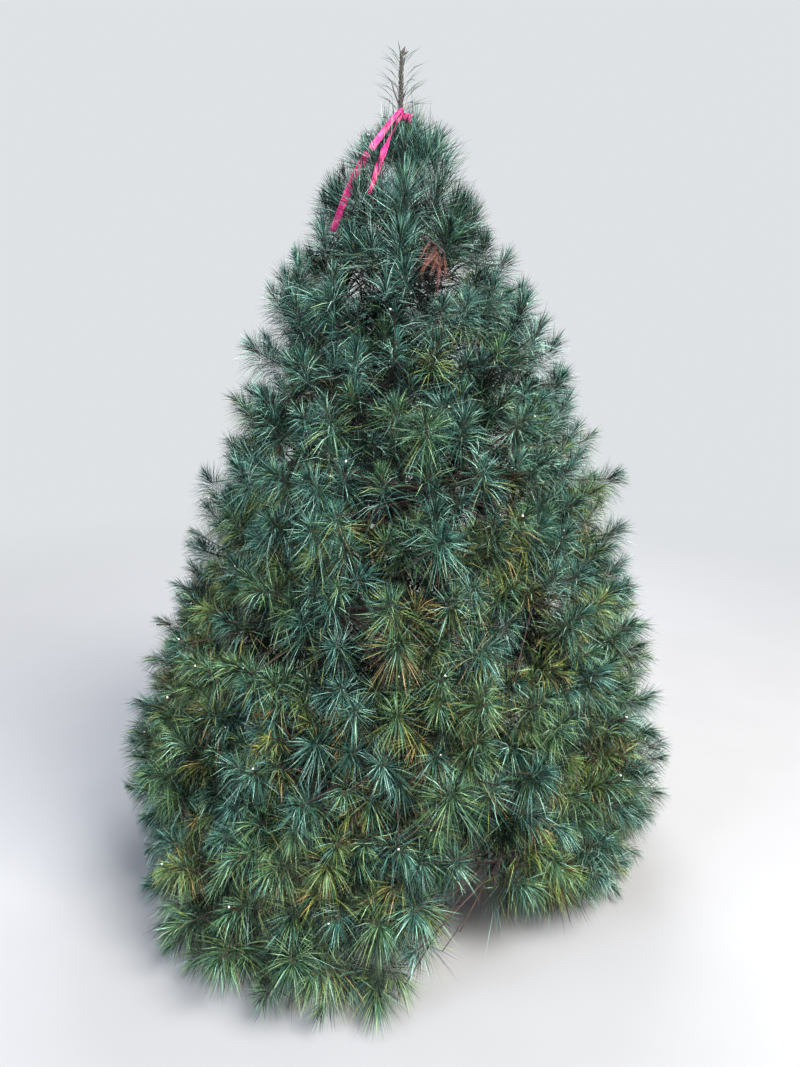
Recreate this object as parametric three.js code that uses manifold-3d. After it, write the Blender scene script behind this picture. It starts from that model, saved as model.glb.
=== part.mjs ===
// A white pine sheared into a cone, standing on the flat cut at the foot of its trunk.
// Millimetres, +Z up, origin at the middle of the cut; its open front faces -Y.
// The crown is divided into tiers, one for each year's whorl of boughs, and each tier into sectors.
// A bough runs from the trunk to each sector, and the sector's foliage grows on from its tip:
// a stem, a core where the needles are too dense to see through, and tufts that stand out of it.

import * as THREE from "three";
import { mergeVertices } from "three/addons/utils/BufferGeometryUtils.js";
import Module from "manifold-3d";

const wasm = await Module();
wasm.setup();

const TURN = 2 * Math.PI;
const UP = new THREE.Vector3(0, 0, 1);

const TREE_HEIGHT = 2400; // from the cut to the topmost needle tip
const CLEARANCE = 0.35; // between pieces that meet

// The trunk
const TRUNK_TOP = 2378;
const TRUNK_FOOT_RADIUS = 34;
const TRUNK_TIP_RADIUS = 3.4;
const TRUNK_TAPER = 0.95; // exponent of the taper, under 1 for a stem that narrows late
const TRUNK_LEAN = 14; // how far the tip stands over towards +X
const TRUNK_SWAY = 7; // wander from side to side on the way up, and somewhat less to and fro
const FLARE_RADIUS = 20; // added at the ground by the root flare
const FLARE_HEIGHT = 70;
const FLARE_LOBES = 5;
const FLARE_LOBE_DEPTH = 7;
const WHORL_SWELLING = 0.12; // share by which the trunk thickens where a whorl leaves it
const WHORL_SWELLING_HEIGHT = 28;

// The crown's sheared outline, out to the needle tips
const CROWN_RADIUS = 895;
const CROWN_WAIST = 250; // height where the radius is CROWN_RADIUS before the skirt draws in
const CROWN_TIP = 2220; // height where the sheared outline closes
const CROWN_ROUNDNESS = 0.63;
const SKIRT_HEIGHT = 500; // below this the outline draws in towards the ground
const SKIRT_DEPTH = 400;
const SKIRT_DRAW_IN = 0.1;
const SKIRT_SPREAD = 90; // how much further the lowest boughs sprawl at the front
const SKIRT_SPREAD_AZIMUTH = (-104 / 180) * Math.PI;
const SKIRT_SPREAD_SHARPNESS = 9;
const SIDE_BIAS = 0.04; // the right side is this much fuller at mid height, and the left one lower down
const SIDE_BIAS_START = 550;
const SIDE_BIAS_SPAN = 1300;
const LUMPS = 0.018; // unevenness left by the shears

// The gap under the skirt at the front right
const GROUND_GAP = 14;
const SKIRT_LIFT = 150;
const SKIRT_LIFT_AZIMUTH = (-67 / 180) * Math.PI;
const SKIRT_LIFT_SHARPNESS = 14;

// Tiers from the ground up: where each one's top meets the outline, how steeply it rises outwards
// (rise), how many sectors it has, how far round they start (turn), and how much of each sector's
// sides stays open, as at the top, where sky shows through
const TIERS = [
  { name: "skirt", sectors: 6, top: 400, rise: 0.15, turn: 0, open: 0 },
  { name: "lower", sectors: 6, top: 790, rise: 0.3, turn: 0.5, open: 0 },
  { name: "middle", sectors: 5, top: 1150, rise: 0.45, turn: 0.2, open: 0 },
  { name: "upper", sectors: 5, top: 1470, rise: 0.6, turn: 0.75, open: 0 },
  { name: "shoulder", sectors: 4, top: 1760, rise: 0.9, turn: 0.4, open: 0 },
  { name: "summit", sectors: 3, top: 2160, rise: 0, turn: 0.9, open: 45 },
];
const FIRST_SEAM = -Math.PI / 2; // azimuth of a sector seam in a tier whose turn is 0

// Foliage
const CELL_MARGIN = 4; // every foliage vertex stays this far inside its own space
const CORE_DEPTH = 96; // from the outline to the core's hollows
const CORE_THICKNESS = 170; // from there in to the point where the stem enters it
const SHOOT_SPACING = 120; // of the grid of teeth and tufts over the outline
const SHOOT_WANDER = 0.24; // share of the spacing by which each leaves its place on the grid
const TUFT_ROOM = 33; // from a cell's sides to the outermost tufts
const TOOTH_ROOM = 8; // from a cell's sides to the outermost teeth
const TOOTH_DEPTH = 30; // from the outline to the tips of the core's teeth
const FULL_SHELL_RADIUS = 450; // the shell thins where the crown is narrower than this
const TRUNK_ROOM = 16; // foliage keeps this far off the trunk
const TUFT_DEPTH = 70; // from the outline to a tuft's middle
const TUFT_ARMS = 4;
const TUFT_RIM = 16;
const ARM_LENGTH = 104;
const ARM_WIDE = 0.95; // swing of the outer arms off the tuft's axis, in radians
const ARM_NARROW = 0.4;
const OVERREACH = 8; // how far a needle tip may pass the outline
const DROOP = -25; // elevation of the tufts at the ground, in degrees
const LIFT = 105; // how much it has risen at the tip of the crown
const LIFT_EXPONENT = 0.7;

// Boughs
const BOUGH_ROOT_RADIUS = 11;
const BOUGH_TIP_RADIUS = 6.5;
const STEM_TIP_RADIUS = 3;
const BOUGH_COLLAR = 1.3;
const BOUGH_GAP = 40; // from the core's point to the bough's tip

// The leader
const LEADER_START = 2168;
const LEADER_END = 2362;
const LEADER_SLEEVE = 3.2; // bark round the trunk's tip that the needles are rooted in
const LEADER_NEEDLES = 23;
const LEADER_NEEDLE = 72;
const LEADER_NEEDLE_RADIUS = 1.7;
const LEADER_NEEDLE_SWEEP = 0.85; // elevation, in radians
const GOLDEN_ANGLE = 2.399963;
const SPUR_HEIGHT = 2240;
const SPUR_LENGTH = 62;

// Repeatable random numbers from 0 to 1
function seededRandom(seed) {
  let state = seed >>> 0;
  return () => {
    state = (state + 0x6d2b79f5) >>> 0;
    let mixed = state;
    mixed = Math.imul(mixed ^ (mixed >>> 15), mixed | 1);
    mixed ^= mixed + Math.imul(mixed ^ (mixed >>> 7), mixed | 61);
    return ((mixed ^ (mixed >>> 14)) >>> 0) / 4294967296;
  };
}

const mix = (a, b, t) => a + (b - a) * t;
const polar = (radius, azimuth, z) =>
  new THREE.Vector3(radius * Math.cos(azimuth), radius * Math.sin(azimuth), z);

// A closed solid from a three.js geometry, turned to face outwards
function solidOf(geometry) {
  const bare = geometry.clone();
  bare.deleteAttribute("normal");
  bare.deleteAttribute("uv");
  const merged = mergeVertices(bare, 1e-3);
  const kept = [];
  for (let i = 0; i < merged.index.count; i += 3) {
    const [a, b, c] = merged.index.array.slice(i, i + 3);
    if (a !== b && b !== c && c !== a) kept.push(a, b, c);
  }
  const build = (triangles) =>
    new wasm.Manifold(
      new wasm.Mesh({
        numProp: 3,
        vertProperties: merged.attributes.position.array,
        triVerts: new Uint32Array(triangles),
      }),
    );
  const solid = build(kept);
  return solid.volume() > 0 ? solid : build(kept.reverse());
}

function polyhedron(points, triangles) {
  const geometry = new THREE.BufferGeometry();
  geometry.setFromPoints(points);
  geometry.setIndex(triangles.flat());
  return solidOf(geometry);
}

// The largest piece of a solid, which drops any scrap that came loose
function wholePiece(solid) {
  return solid.decompose().reduce((a, b) => (b.volume() > a.volume() ? b : a));
}

function meshOf(name, solid, material) {
  const cut = wholePiece(solid).getMesh();
  const geometry = new THREE.BufferGeometry();
  geometry.setAttribute("position", new THREE.BufferAttribute(cut.vertProperties, 3));
  geometry.setIndex(new THREE.BufferAttribute(cut.triVerts, 1));
  geometry.computeVertexNormals();
  const mesh = new THREE.Mesh(geometry, material);
  mesh.name = name;
  return mesh;
}

// A limb: a lathe of its taper, bent along its curve
function limb(curve, radiusAt, sides, steps) {
  const profile = [new THREE.Vector2(0, 0)];
  for (let i = 0; i <= steps; i++) profile.push(new THREE.Vector2(1, i));
  profile.push(new THREE.Vector2(0, steps));
  const lathe = new THREE.LatheGeometry(profile, sides);
  const frames = curve.computeFrenetFrames(steps);
  const place = lathe.attributes.position;
  for (let i = 0; i < place.count; i++) {
    const step = Math.round(place.getY(i));
    const angle = Math.atan2(place.getZ(i), place.getX(i));
    const radius = Math.hypot(place.getX(i), place.getZ(i)) * radiusAt(step / steps);
    const point = curve
      .getPointAt(step / steps)
      .addScaledVector(frames.normals[step], radius * Math.cos(angle))
      .addScaledVector(frames.binormals[step], radius * Math.sin(angle));
    place.setXYZ(i, point.x, point.y, point.z);
  }
  return solidOf(lathe);
}

// The crown's outline: a rounded cone that draws in at the skirt, a little fuller on one side
function crownRadius(z, azimuth) {
  const climb = Math.min(0.999, (z - CROWN_WAIST) / (CROWN_TIP - CROWN_WAIST));
  const cone = CROWN_RADIUS * (1 - climb) ** CROWN_ROUNDNESS;
  const drop = Math.max(0, (SKIRT_HEIGHT - z) / SKIRT_DEPTH);
  const skirt = 1 - SKIRT_DRAW_IN * drop ** 1.6;
  const bias = SIDE_BIAS * Math.sin((Math.PI * (z - SIDE_BIAS_START)) / SIDE_BIAS_SPAN);
  const lumps =
    LUMPS * (Math.sin(3 * azimuth + z / 170) + Math.sin(5 * azimuth - z / 110 + 1));
  const facing = Math.max(0, Math.cos(azimuth - SKIRT_SPREAD_AZIMUTH));
  const spread = SKIRT_SPREAD * Math.min(1, drop) * facing ** SKIRT_SPREAD_SHARPNESS;
  return cone * skirt * (1 + bias * Math.cos(azimuth) + lumps) + spread;
}

const meanRadius = (z) => crownRadius(z, Math.PI / 2);

function skirtFloor(azimuth) {
  const facing = Math.max(0, Math.cos(azimuth - SKIRT_LIFT_AZIMUTH));
  return GROUND_GAP + SKIRT_LIFT * facing ** SKIRT_LIFT_SHARPNESS;
}

// The sloping surface between a tier and the one above it, at a distance from the trunk's line
function tierTop(tier, radius) {
  return tier.top + tier.rise * (radius - meanRadius(tier.top));
}

const tierFloor = (index, radius, azimuth) =>
  index === 0 ? skirtFloor(azimuth) : tierTop(TIERS[index - 1], radius);

// Where a level of a tier meets the outline, found by halving the range of radii
function outlineRadius(cell, level, azimuth) {
  let low = 0;
  let high = 2 * CROWN_RADIUS;
  for (let i = 0; i < 40; i++) {
    const middle = (low + high) / 2;
    const z = heightIn(cell, middle, azimuth, level);
    if (crownRadius(z, azimuth) > middle) low = middle;
    else high = middle;
  }
  return low;
}

// Height at a level of a cell, from -1 at its floor to 1 at its top
function heightIn(cell, radius, azimuth, level) {
  const floor = tierFloor(cell.index, radius, azimuth);
  return mix(floor, tierTop(cell.tier, radius), (level + 1) / 2);
}

// A point of a cell from its own coordinates: across the sector, up the tier, and in from the outline
function cellPoint(cell, across, level, depth) {
  const azimuth = mix(cell.start, cell.end, (across + 1) / 2);
  const radius = outlineRadius(cell, level, azimuth) - depth * cell.shell;
  return polar(radius, azimuth, heightIn(cell, radius, azimuth, level));
}

function insideCell(cell, point) {
  const radius = Math.hypot(point.x, point.y);
  const azimuth = Math.atan2(point.y, point.x);
  const fromStart = point.y * Math.cos(cell.start) - point.x * Math.sin(cell.start);
  const fromEnd = point.x * Math.sin(cell.end) - point.y * Math.cos(cell.end);
  return (
    fromStart > CELL_MARGIN &&
    fromEnd > CELL_MARGIN &&
    point.z > tierFloor(cell.index, radius, azimuth) + CELL_MARGIN &&
    point.z < tierTop(cell.tier, radius) - CELL_MARGIN &&
    point.distanceTo(trunkCentre(point.z)) > trunkRadius(point.z) + TRUNK_ROOM &&
    radius < crownRadius(point.z, azimuth) + OVERREACH
  );
}

// Every cell of the crown, with what its bough and foliage need to know
function crownCells() {
  return TIERS.flatMap((tier, index) => {
    const below = index === 0 ? GROUND_GAP : tierTop(TIERS[index - 1], 0);
    const whorl = (below + tierTop(tier, 0)) / 2;
    const floor = index === 0 ? 0 : TIERS[index - 1].top;
    const radius = meanRadius((floor + tier.top) / 2);
    const width = TURN / tier.sectors;
    return Array.from({ length: tier.sectors }, (_, sector) => ({
      name: `${tier.name}_${sector + 1}`,
      tier,
      index,
      radius,
      whorl,
      height: Math.hypot(tier.top - floor, meanRadius(floor) - meanRadius(tier.top)),
      shell: Math.min(1, radius / FULL_SHELL_RADIUS),
      start: FIRST_SEAM + (sector + tier.turn) * width,
      end: FIRST_SEAM + (sector + 1 + tier.turn) * width,
      random: seededRandom(1000 * (index + 1) + sector),
    }));
  });
}

const CELLS = crownCells();
const WHORLS = [...new Set(CELLS.map((cell) => cell.whorl))];

function trunkCentre(z) {
  const climb = z / TRUNK_TOP;
  const lean = TRUNK_LEAN * climb;
  const sway = TRUNK_SWAY * Math.sin(2 * Math.PI * climb);
  return new THREE.Vector3(lean + sway, 0.6 * TRUNK_SWAY * Math.sin(3.5 * climb * Math.PI), z);
}

function trunkRadius(z) {
  const climb = Math.min(1, z / TRUNK_TOP);
  const taper = mix(TRUNK_TIP_RADIUS, TRUNK_FOOT_RADIUS, (1 - climb) ** TRUNK_TAPER);
  const swelling = WHORLS.reduce((sum, whorl) => {
    const off = (z - whorl) / WHORL_SWELLING_HEIGHT;
    return sum + WHORL_SWELLING * Math.exp(-off * off);
  }, 0);
  return taper * (1 + swelling) + FLARE_RADIUS * Math.exp(-z / FLARE_HEIGHT);
}

// The trunk, wider all round by the given amount: a lathe whose levels follow its lean and sway
function trunkSolid(wider) {
  const levels = [0, FLARE_HEIGHT / 3, FLARE_HEIGHT];
  for (const whorl of WHORLS)
    levels.push(whorl - WHORL_SWELLING_HEIGHT, whorl, whorl + WHORL_SWELLING_HEIGHT);
  levels.push(CROWN_TIP, TRUNK_TOP);
  const profile = levels.map((z) => new THREE.Vector2(1, z));
  profile.unshift(new THREE.Vector2(0, 0));
  profile.push(new THREE.Vector2(0, TRUNK_TOP));
  const lathe = new THREE.LatheGeometry(profile, 2 * FLARE_LOBES);
  const place = lathe.attributes.position;
  for (let i = 0; i < place.count; i++) {
    const z = place.getY(i);
    const angle = Math.atan2(place.getZ(i), place.getX(i));
    const lobe = FLARE_LOBE_DEPTH * Math.exp((-2 * z) / FLARE_HEIGHT);
    const radius = trunkRadius(z) + lobe * Math.cos(FLARE_LOBES * angle) + wider;
    const reach = radius * Math.hypot(place.getX(i), place.getZ(i));
    const point = trunkCentre(z).add(polar(reach, angle, 0));
    place.setXYZ(i, point.x, point.y, point.z);
  }
  return solidOf(lathe);
}

const trunk = trunkSolid(0);
const trunkSpace = trunkSolid(CLEARANCE);

// A bough's path: out of the trunk almost level, then curving up towards its tip
function boughCurve(cell) {
  const depth = CORE_DEPTH + CORE_THICKNESS + BOUGH_GAP;
  const tip = cellPoint(cell, mix(-0.12, 0.12, cell.random()), -0.05, depth);
  const whorl = cell.whorl + mix(-12, 12, cell.random());
  const root = trunkCentre(whorl);
  const bend = root.clone().lerp(tip, 0.55);
  bend.z = mix(root.z, tip.z, 0.3);
  return new THREE.QuadraticBezierCurve3(root, bend, tip);
}

function boughSolid(cell, curve) {
  const root = BOUGH_ROOT_RADIUS * mix(0.6, 1, cell.shell);
  const radiusAt = (t) =>
    mix(root, BOUGH_TIP_RADIUS, t) * (1 + (BOUGH_COLLAR - 1) * Math.max(0, 1 - 5 * t));
  return limb(curve, radiusAt, 5, 3).subtract(trunkSpace);
}

// The stem that goes on from the bough's tip, or from the trunk, into the core
function stemSolid(cell, curve) {
  const end = cellPoint(cell, 0, 0, CORE_DEPTH + 0.5 * CORE_THICKNESS);
  if (!curve) {
    const root = trunkCentre(cell.whorl);
    const path = new THREE.LineCurve3(root, end);
    return limb(path, (t) => mix(7, STEM_TIP_RADIUS, t), 4, 1).subtract(trunkSpace);
  }
  const along = curve.getTangentAt(1);
  const start = curve.getPointAt(1).addScaledVector(along, CLEARANCE);
  const bend = start.clone().addScaledVector(along, start.distanceTo(end) * 0.5);
  const path = new THREE.QuadraticBezierCurve3(start, bend, end);
  return limb(path, (t) => mix(BOUGH_TIP_RADIUS, STEM_TIP_RADIUS, t), 5, 2);
}

// The grid that a mass grows on: every second point is a tooth of the core, and the points between
// them each carry a tuft. Teeth at the edge reach out towards the neighbours.
function shootGrid(cell) {
  const random = cell.random;
  const arc = cell.radius * (cell.end - cell.start);
  const columns = Math.round((arc - 2 * TUFT_ROOM - 2 * cell.tier.open) / SHOOT_SPACING);
  const rows = Math.round((cell.height - 2 * TUFT_ROOM) / SHOOT_SPACING);
  const spots = [];
  for (let row = 0; row <= rows; row++)
    for (let column = 0; column <= columns; column++) {
      const tooth = (row + column) % 2 === 1;
      const sideways = column > 0 && column < columns;
      const upwards = row > 0 && row < rows;
      const sideRoom = cell.tier.open + (tooth && !sideways ? TOOTH_ROOM : TUFT_ROOM);
      const levelRoom = tooth && !upwards ? TOOTH_ROOM : TUFT_ROOM;
      const wander = (free) => (free ? SHOOT_WANDER * mix(-1, 1, random()) : 0);
      spots.push({
        tooth,
        across: (1 - (2 * sideRoom) / arc) * ((2 * (column + wander(sideways))) / columns - 1),
        level: (1 - (2 * levelRoom) / cell.height) * ((2 * (row + wander(upwards))) / rows - 1),
        sunk: mix(0.8, 1.2, random()),
      });
    }
  return { columns, rows, spots };
}

// The dense middle of a mass: a fan that spreads from the stem out to the whole cell, and whose front
// is toothed with needles
function coreSolid(cell, { columns, rows, spots }) {
  const points = spots.map(({ tooth, across, level, sunk }) =>
    cellPoint(cell, across, level, (tooth ? TOOTH_DEPTH : CORE_DEPTH) * sunk),
  );
  const at = (column, row) => row * (columns + 1) + column;
  const triangles = [];
  for (let row = 0; row < rows; row++)
    for (let column = 0; column < columns; column++) {
      const near = [at(column, row), at(column + 1, row)];
      const far = [at(column + 1, row + 1), at(column, row + 1)];
      const [a, b, c, d] = (row + column) % 2 ? [...near, ...far] : [near[1], ...far, near[0]];
      triangles.push([a, b, d], [b, c, d]);
    }
  const edge = [];
  for (let column = 0; column < columns; column++) edge.push(at(column, 0));
  for (let row = 0; row < rows; row++) edge.push(at(columns, row));
  for (let column = columns; column > 0; column--) edge.push(at(column, rows));
  for (let row = rows; row > 0; row--) edge.push(at(0, row));
  const tail = points.push(cellPoint(cell, 0, 0, CORE_DEPTH + CORE_THICKNESS)) - 1;
  edge.forEach((point, i) => triangles.push([tail, edge[(i + 1) % edge.length], point]));
  return polyhedron(points, triangles);
}

// A tuft: a slim core that tapers back to its root, and arms of needles that stand out of it
function tuftSolid(cell, root, middle, axis) {
  const random = cell.random;
  const facing = middle.clone().sub(root).normalize().add(axis).normalize();
  const side = new THREE.Vector3().crossVectors(UP, facing).normalize();
  const other = new THREE.Vector3().crossVectors(facing, side);
  const spin = random() * TURN;
  const around = (k) => {
    const angle = spin + (k / TUFT_ARMS) * TURN;
    return side.clone().multiplyScalar(Math.cos(angle)).addScaledVector(other, Math.sin(angle));
  };
  const front = middle.clone().addScaledVector(facing, TUFT_RIM);
  const points = [root, front];
  for (let k = 0; k < TUFT_ARMS; k++)
    points.push(middle.clone().addScaledVector(around(k), TUFT_RIM));
  const triangles = [];
  for (let k = 0; k < TUFT_ARMS; k++) {
    const here = 2 + k;
    const next = 2 + ((k + 1) % TUFT_ARMS);
    triangles.push([0, next, here]);
    const swing = (k % 2 ? ARM_NARROW : ARM_WIDE) + mix(-0.2, 0.2, random());
    const reach = facing.clone().multiplyScalar(Math.cos(swing));
    reach.addScaledVector(around(k + 0.5), Math.sin(swing));
    let length = ARM_LENGTH * mix(0.85, 1.15, random());
    let tip = middle.clone().addScaledVector(reach, length);
    while (length > 3 * TUFT_RIM && !insideCell(cell, tip)) {
      length *= 0.88;
      tip = middle.clone().addScaledVector(reach, length);
    }
    if (insideCell(cell, tip)) {
      const arm = points.push(tip) - 1;
      triangles.push([here, next, arm], [next, 1, arm], [1, here, arm]);
    } else triangles.push([here, next, 1]);
  }
  return polyhedron(points, triangles);
}

// The tufts of one mass, on twigs that branch off where its stem ends
function tuftSolids(cell, { spots }) {
  const tufts = [];
  for (const { tooth, across, level, sunk } of spots) {
    const middle = cellPoint(cell, across, level, TUFT_DEPTH * sunk);
    if (tooth || !insideCell(cell, middle)) continue;
    const azimuth = Math.atan2(middle.y, middle.x) + mix(-0.25, 0.25, cell.random());
    const climb = Math.max(0, middle.z / CROWN_TIP) ** LIFT_EXPONENT;
    const elevation = ((DROOP + LIFT * climb) / 180) * Math.PI + mix(-0.2, 0.2, cell.random());
    const axis = polar(Math.cos(elevation), azimuth, Math.sin(elevation));
    const root = cellPoint(cell, 0.2 * across, 0.2 * level, CORE_DEPTH + 0.8 * CORE_THICKNESS);
    tufts.push(tuftSolid(cell, root, middle, axis));
  }
  return tufts;
}

// The leader's needles, on a thin sleeve of bark round the trunk's tip
function leaderSolid() {
  const random = seededRandom(7);
  const sleeve = new THREE.CatmullRomCurve3(
    [0, 0.25, 0.5, 0.75, 1].map((t) => trunkCentre(mix(LEADER_START, LEADER_END, t))),
  );
  const wide = (t) => trunkRadius(mix(LEADER_START, LEADER_END, t)) + LEADER_SLEEVE;
  const parts = [limb(sleeve, wide, 8, 3)];
  for (let i = 0; i < LEADER_NEEDLES; i++) {
    const z = mix(LEADER_START + 6, LEADER_END - 5, i / (LEADER_NEEDLES - 1));
    const azimuth = i * GOLDEN_ANGLE;
    const sweep = LEADER_NEEDLE_SWEEP + mix(-0.25, 0.25, random());
    const reach = polar(Math.cos(sweep), azimuth, Math.sin(sweep));
    const length = Math.min(
      LEADER_NEEDLE * mix(0.85, 1.2, random()),
      (TREE_HEIGHT - z) / Math.sin(sweep),
    );
    const start = trunkCentre(z).add(polar(trunkRadius(z) + LEADER_NEEDLE_RADIUS, azimuth, 0));
    const tip = start.clone().addScaledVector(reach, length);
    const side = new THREE.Vector3().crossVectors(UP, reach).normalize();
    const other = new THREE.Vector3().crossVectors(reach, side);
    const ring = [0, 1, 2].map((k) =>
      start
        .clone()
        .addScaledVector(side, LEADER_NEEDLE_RADIUS * Math.cos((k * TURN) / 3))
        .addScaledVector(other, LEADER_NEEDLE_RADIUS * Math.sin((k * TURN) / 3)),
    );
    parts.push(
      polyhedron([...ring, tip], [[0, 1, 3], [1, 2, 3], [2, 0, 3], [0, 2, 1]]),
    );
  }
  const foot = trunkCentre(SPUR_HEIGHT);
  const spurTip = foot.clone().add(new THREE.Vector3(-0.4 * SPUR_LENGTH, -4, SPUR_LENGTH));
  const spur = new THREE.LineCurve3(foot, spurTip);
  parts.push(limb(spur, (t) => mix(3.4, 2, t), 4, 1));
  return wasm.Manifold.union(parts).subtract(trunkSpace);
}

const bark = new THREE.MeshStandardMaterial({ color: 0x6a5d54, roughness: 0.9, metalness: 0 });
const needles = new THREE.MeshStandardMaterial({ color: 0x46604f, roughness: 0.55, metalness: 0 });

const tree = new THREE.Group();
tree.add(meshOf("trunk", trunk, bark));
for (const cell of CELLS) {
  const curve = cell.tier.name === "summit" ? null : boughCurve(cell);
  if (curve) tree.add(meshOf(`bough_${cell.name}`, boughSolid(cell, curve), bark));
  const grid = shootGrid(cell);
  const parts = [coreSolid(cell, grid), stemSolid(cell, curve), ...tuftSolids(cell, grid)];
  tree.add(meshOf(`foliage_${cell.name}`, wasm.Manifold.union(parts), needles));
}
tree.add(meshOf("foliage_leader", leaderSolid(), needles));

export default tree;
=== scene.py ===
"""A sheared white pine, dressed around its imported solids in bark, twigs, sprays of needles and a ribbon.

Lengths are worked out in millimetres, as in the part's source, and turn to metres when a mesh is made.
The crown's outline, its cells and the grid that the shoots grow on follow the source's rule and seeds.
"""

import math

import bpy
import numpy as np
from bpy.props import FloatProperty, FloatVectorProperty, IntProperty, PointerProperty
from bpy.types import Operator, Panel, PropertyGroup
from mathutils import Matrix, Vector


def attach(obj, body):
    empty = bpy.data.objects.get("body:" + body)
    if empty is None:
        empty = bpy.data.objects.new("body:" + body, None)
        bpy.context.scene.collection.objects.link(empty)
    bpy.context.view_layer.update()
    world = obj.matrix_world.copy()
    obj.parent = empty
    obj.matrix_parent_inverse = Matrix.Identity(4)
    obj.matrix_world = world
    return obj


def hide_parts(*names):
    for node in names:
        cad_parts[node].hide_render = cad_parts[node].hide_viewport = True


bl_info = {
    "name": "Sheared White Pine",
    "version": (1, 0, 0),
    "blender": (4, 5, 0),
    "location": "3D View > Sidebar > Pine",
    "description": "Dresses a sheared white pine in bark, twigs, sprays of needles and a flagging ribbon",
    "category": "Add Mesh",
}

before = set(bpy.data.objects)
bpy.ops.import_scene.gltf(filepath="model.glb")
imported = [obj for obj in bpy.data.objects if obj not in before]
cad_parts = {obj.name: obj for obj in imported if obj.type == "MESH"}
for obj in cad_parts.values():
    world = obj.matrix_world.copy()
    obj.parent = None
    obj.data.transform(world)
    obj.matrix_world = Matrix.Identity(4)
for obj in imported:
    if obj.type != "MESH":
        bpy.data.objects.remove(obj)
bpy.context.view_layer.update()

MILLIMETRE = 0.001
TURN = 2 * math.pi
GOLDEN_ANGLE = 2.399963
UP = np.array([0.0, 0.0, 1.0])

# Sizes of the source, in millimetres
TREE_HEIGHT = 2400
TRUNK_TOP = 2378
TRUNK_FOOT_RADIUS = 34
TRUNK_TIP_RADIUS = 3.4
TRUNK_TAPER = 0.95
TRUNK_LEAN = 14
TRUNK_SWAY = 7
FLARE_RADIUS = 20
FLARE_HEIGHT = 70
FLARE_LOBES = 5
FLARE_LOBE_DEPTH = 7
WHORL_SWELLING = 0.12
WHORL_SWELLING_HEIGHT = 28

CROWN_RADIUS = 895
CROWN_WAIST = 250
CROWN_TIP = 2220
CROWN_ROUNDNESS = 0.63
SKIRT_HEIGHT = 500
SKIRT_DEPTH = 400
SKIRT_DRAW_IN = 0.1
SKIRT_SPREAD = 90
SKIRT_SPREAD_AZIMUTH = math.radians(-104)
SKIRT_SPREAD_SHARPNESS = 9
SIDE_BIAS = 0.04
SIDE_BIAS_START = 550
SIDE_BIAS_SPAN = 1300
LUMPS = 0.018
GROUND_GAP = 14
SKIRT_LIFT = 150
SKIRT_LIFT_AZIMUTH = math.radians(-67)
SKIRT_LIFT_SHARPNESS = 14

TIERS = [
    dict(name="skirt", sectors=6, top=400, rise=0.15, turn=0, open=0),
    dict(name="lower", sectors=6, top=790, rise=0.3, turn=0.5, open=0),
    dict(name="middle", sectors=5, top=1150, rise=0.45, turn=0.2, open=0),
    dict(name="upper", sectors=5, top=1470, rise=0.6, turn=0.75, open=0),
    dict(name="shoulder", sectors=4, top=1760, rise=0.9, turn=0.4, open=0),
    dict(name="summit", sectors=3, top=2160, rise=0, turn=0.9, open=45),
]
FIRST_SEAM = -math.pi / 2
CELL_MARGIN = 4
CORE_DEPTH = 96
CORE_THICKNESS = 170
SHOOT_SPACING = 120
SHOOT_WANDER = 0.24
TUFT_ROOM = 33
TOOTH_ROOM = 8
FULL_SHELL_RADIUS = 450
TRUNK_ROOM = 16
TUFT_DEPTH = 70
OVERREACH = 8
DROOP = -25
LIFT = 105
LIFT_EXPONENT = 0.7
BOUGH_ROOT_RADIUS = 11
BOUGH_TIP_RADIUS = 6.5
STEM_TIP_RADIUS = 3
BOUGH_COLLAR = 1.3
BOUGH_GAP = 40
LEADER_START = 2168
LEADER_END = 2362
SPUR_HEIGHT = 2240
SPUR_LENGTH = 62

# Where the sprays stand
TUFT_DRAW_IN = 6  # the outer sprays' middles lie this much deeper than the source's tufts
TOOTH_SHOOT_DEPTH = 84  # sprays that stand where the source's core has its teeth
TOOTH_SHOOT_PLACE = 0.93  # how far out in its cell such a spray stands
SHEAR_SPREAD = 17  # how unevenly the shears leave the outer sprays, as a standard deviation
POCKET_DEPTH = 72  # how much deeper some of them stand
POCKET_SHARE = 0.22
PLACE_SPREAD = 11  # how far they stand off the source's grid
SECOND_SIDE_SHARE = 0.55  # share of twigs with a second side spray
SIDE_AWAY = (45, 80)  # along the outline from an outer spray to its side spray
SIDE_DEPTH = (110, 165)
DEEP_DEPTH = (175, 330)
DEEP_WANDER = 0.12  # of their place in the cell, which runs from -1 to 1
INNERMOST_PLACE = (0.12, 0.52)  # share of the crown's radius at their whorl
INNERMOST_FLOOR = 120
INNERMOST_TOP = 1900
TIER_INSET = 60  # they stand this much lower than their tier
LOWEST_SPRAY = 36
GROUND_CLEARANCE = 5  # no twig or needle hangs lower

# How far the needles reach past the outline, by height, at either side
FRINGE_HEIGHTS = (250, 435, 613, 785, 953, 1110, 1272, 1425, 1574, 1719, 1860, 2000, 2070, 2140, 2250)
FRINGE_LEFT = (0, 30, 66, 66, 36, 24, 110, 48, 72, 32, -14, 24, 24, 0, 6)
FRINGE_RIGHT = (30, 6, 50, 80, 94, 40, 96, 84, 116, 118, 10, 56, 150, 96, 46)
FRINGE_SWELL = 0.7  # share of that by which the sprays themselves move out
# The skirt trails on the ground at the front left
TRAIN = 54
TRAIN_AZIMUTH = -1.98
TRAIN_SHARPNESS = 8
TRAIN_HEIGHTS = (400, 150)
FARTHEST = 970  # no needle reaches further to the front or back
# The summit is thin round the ribbon's knot
KNOT_ROOM = 20
KNOT_HEIGHTS = (2150, 2210)
# How much the ends of outer shoots turn up, in radians, and between which heights that sets in
TURN_UP = 0.42
TURN_UP_HEIGHTS = (1500, 200)
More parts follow.
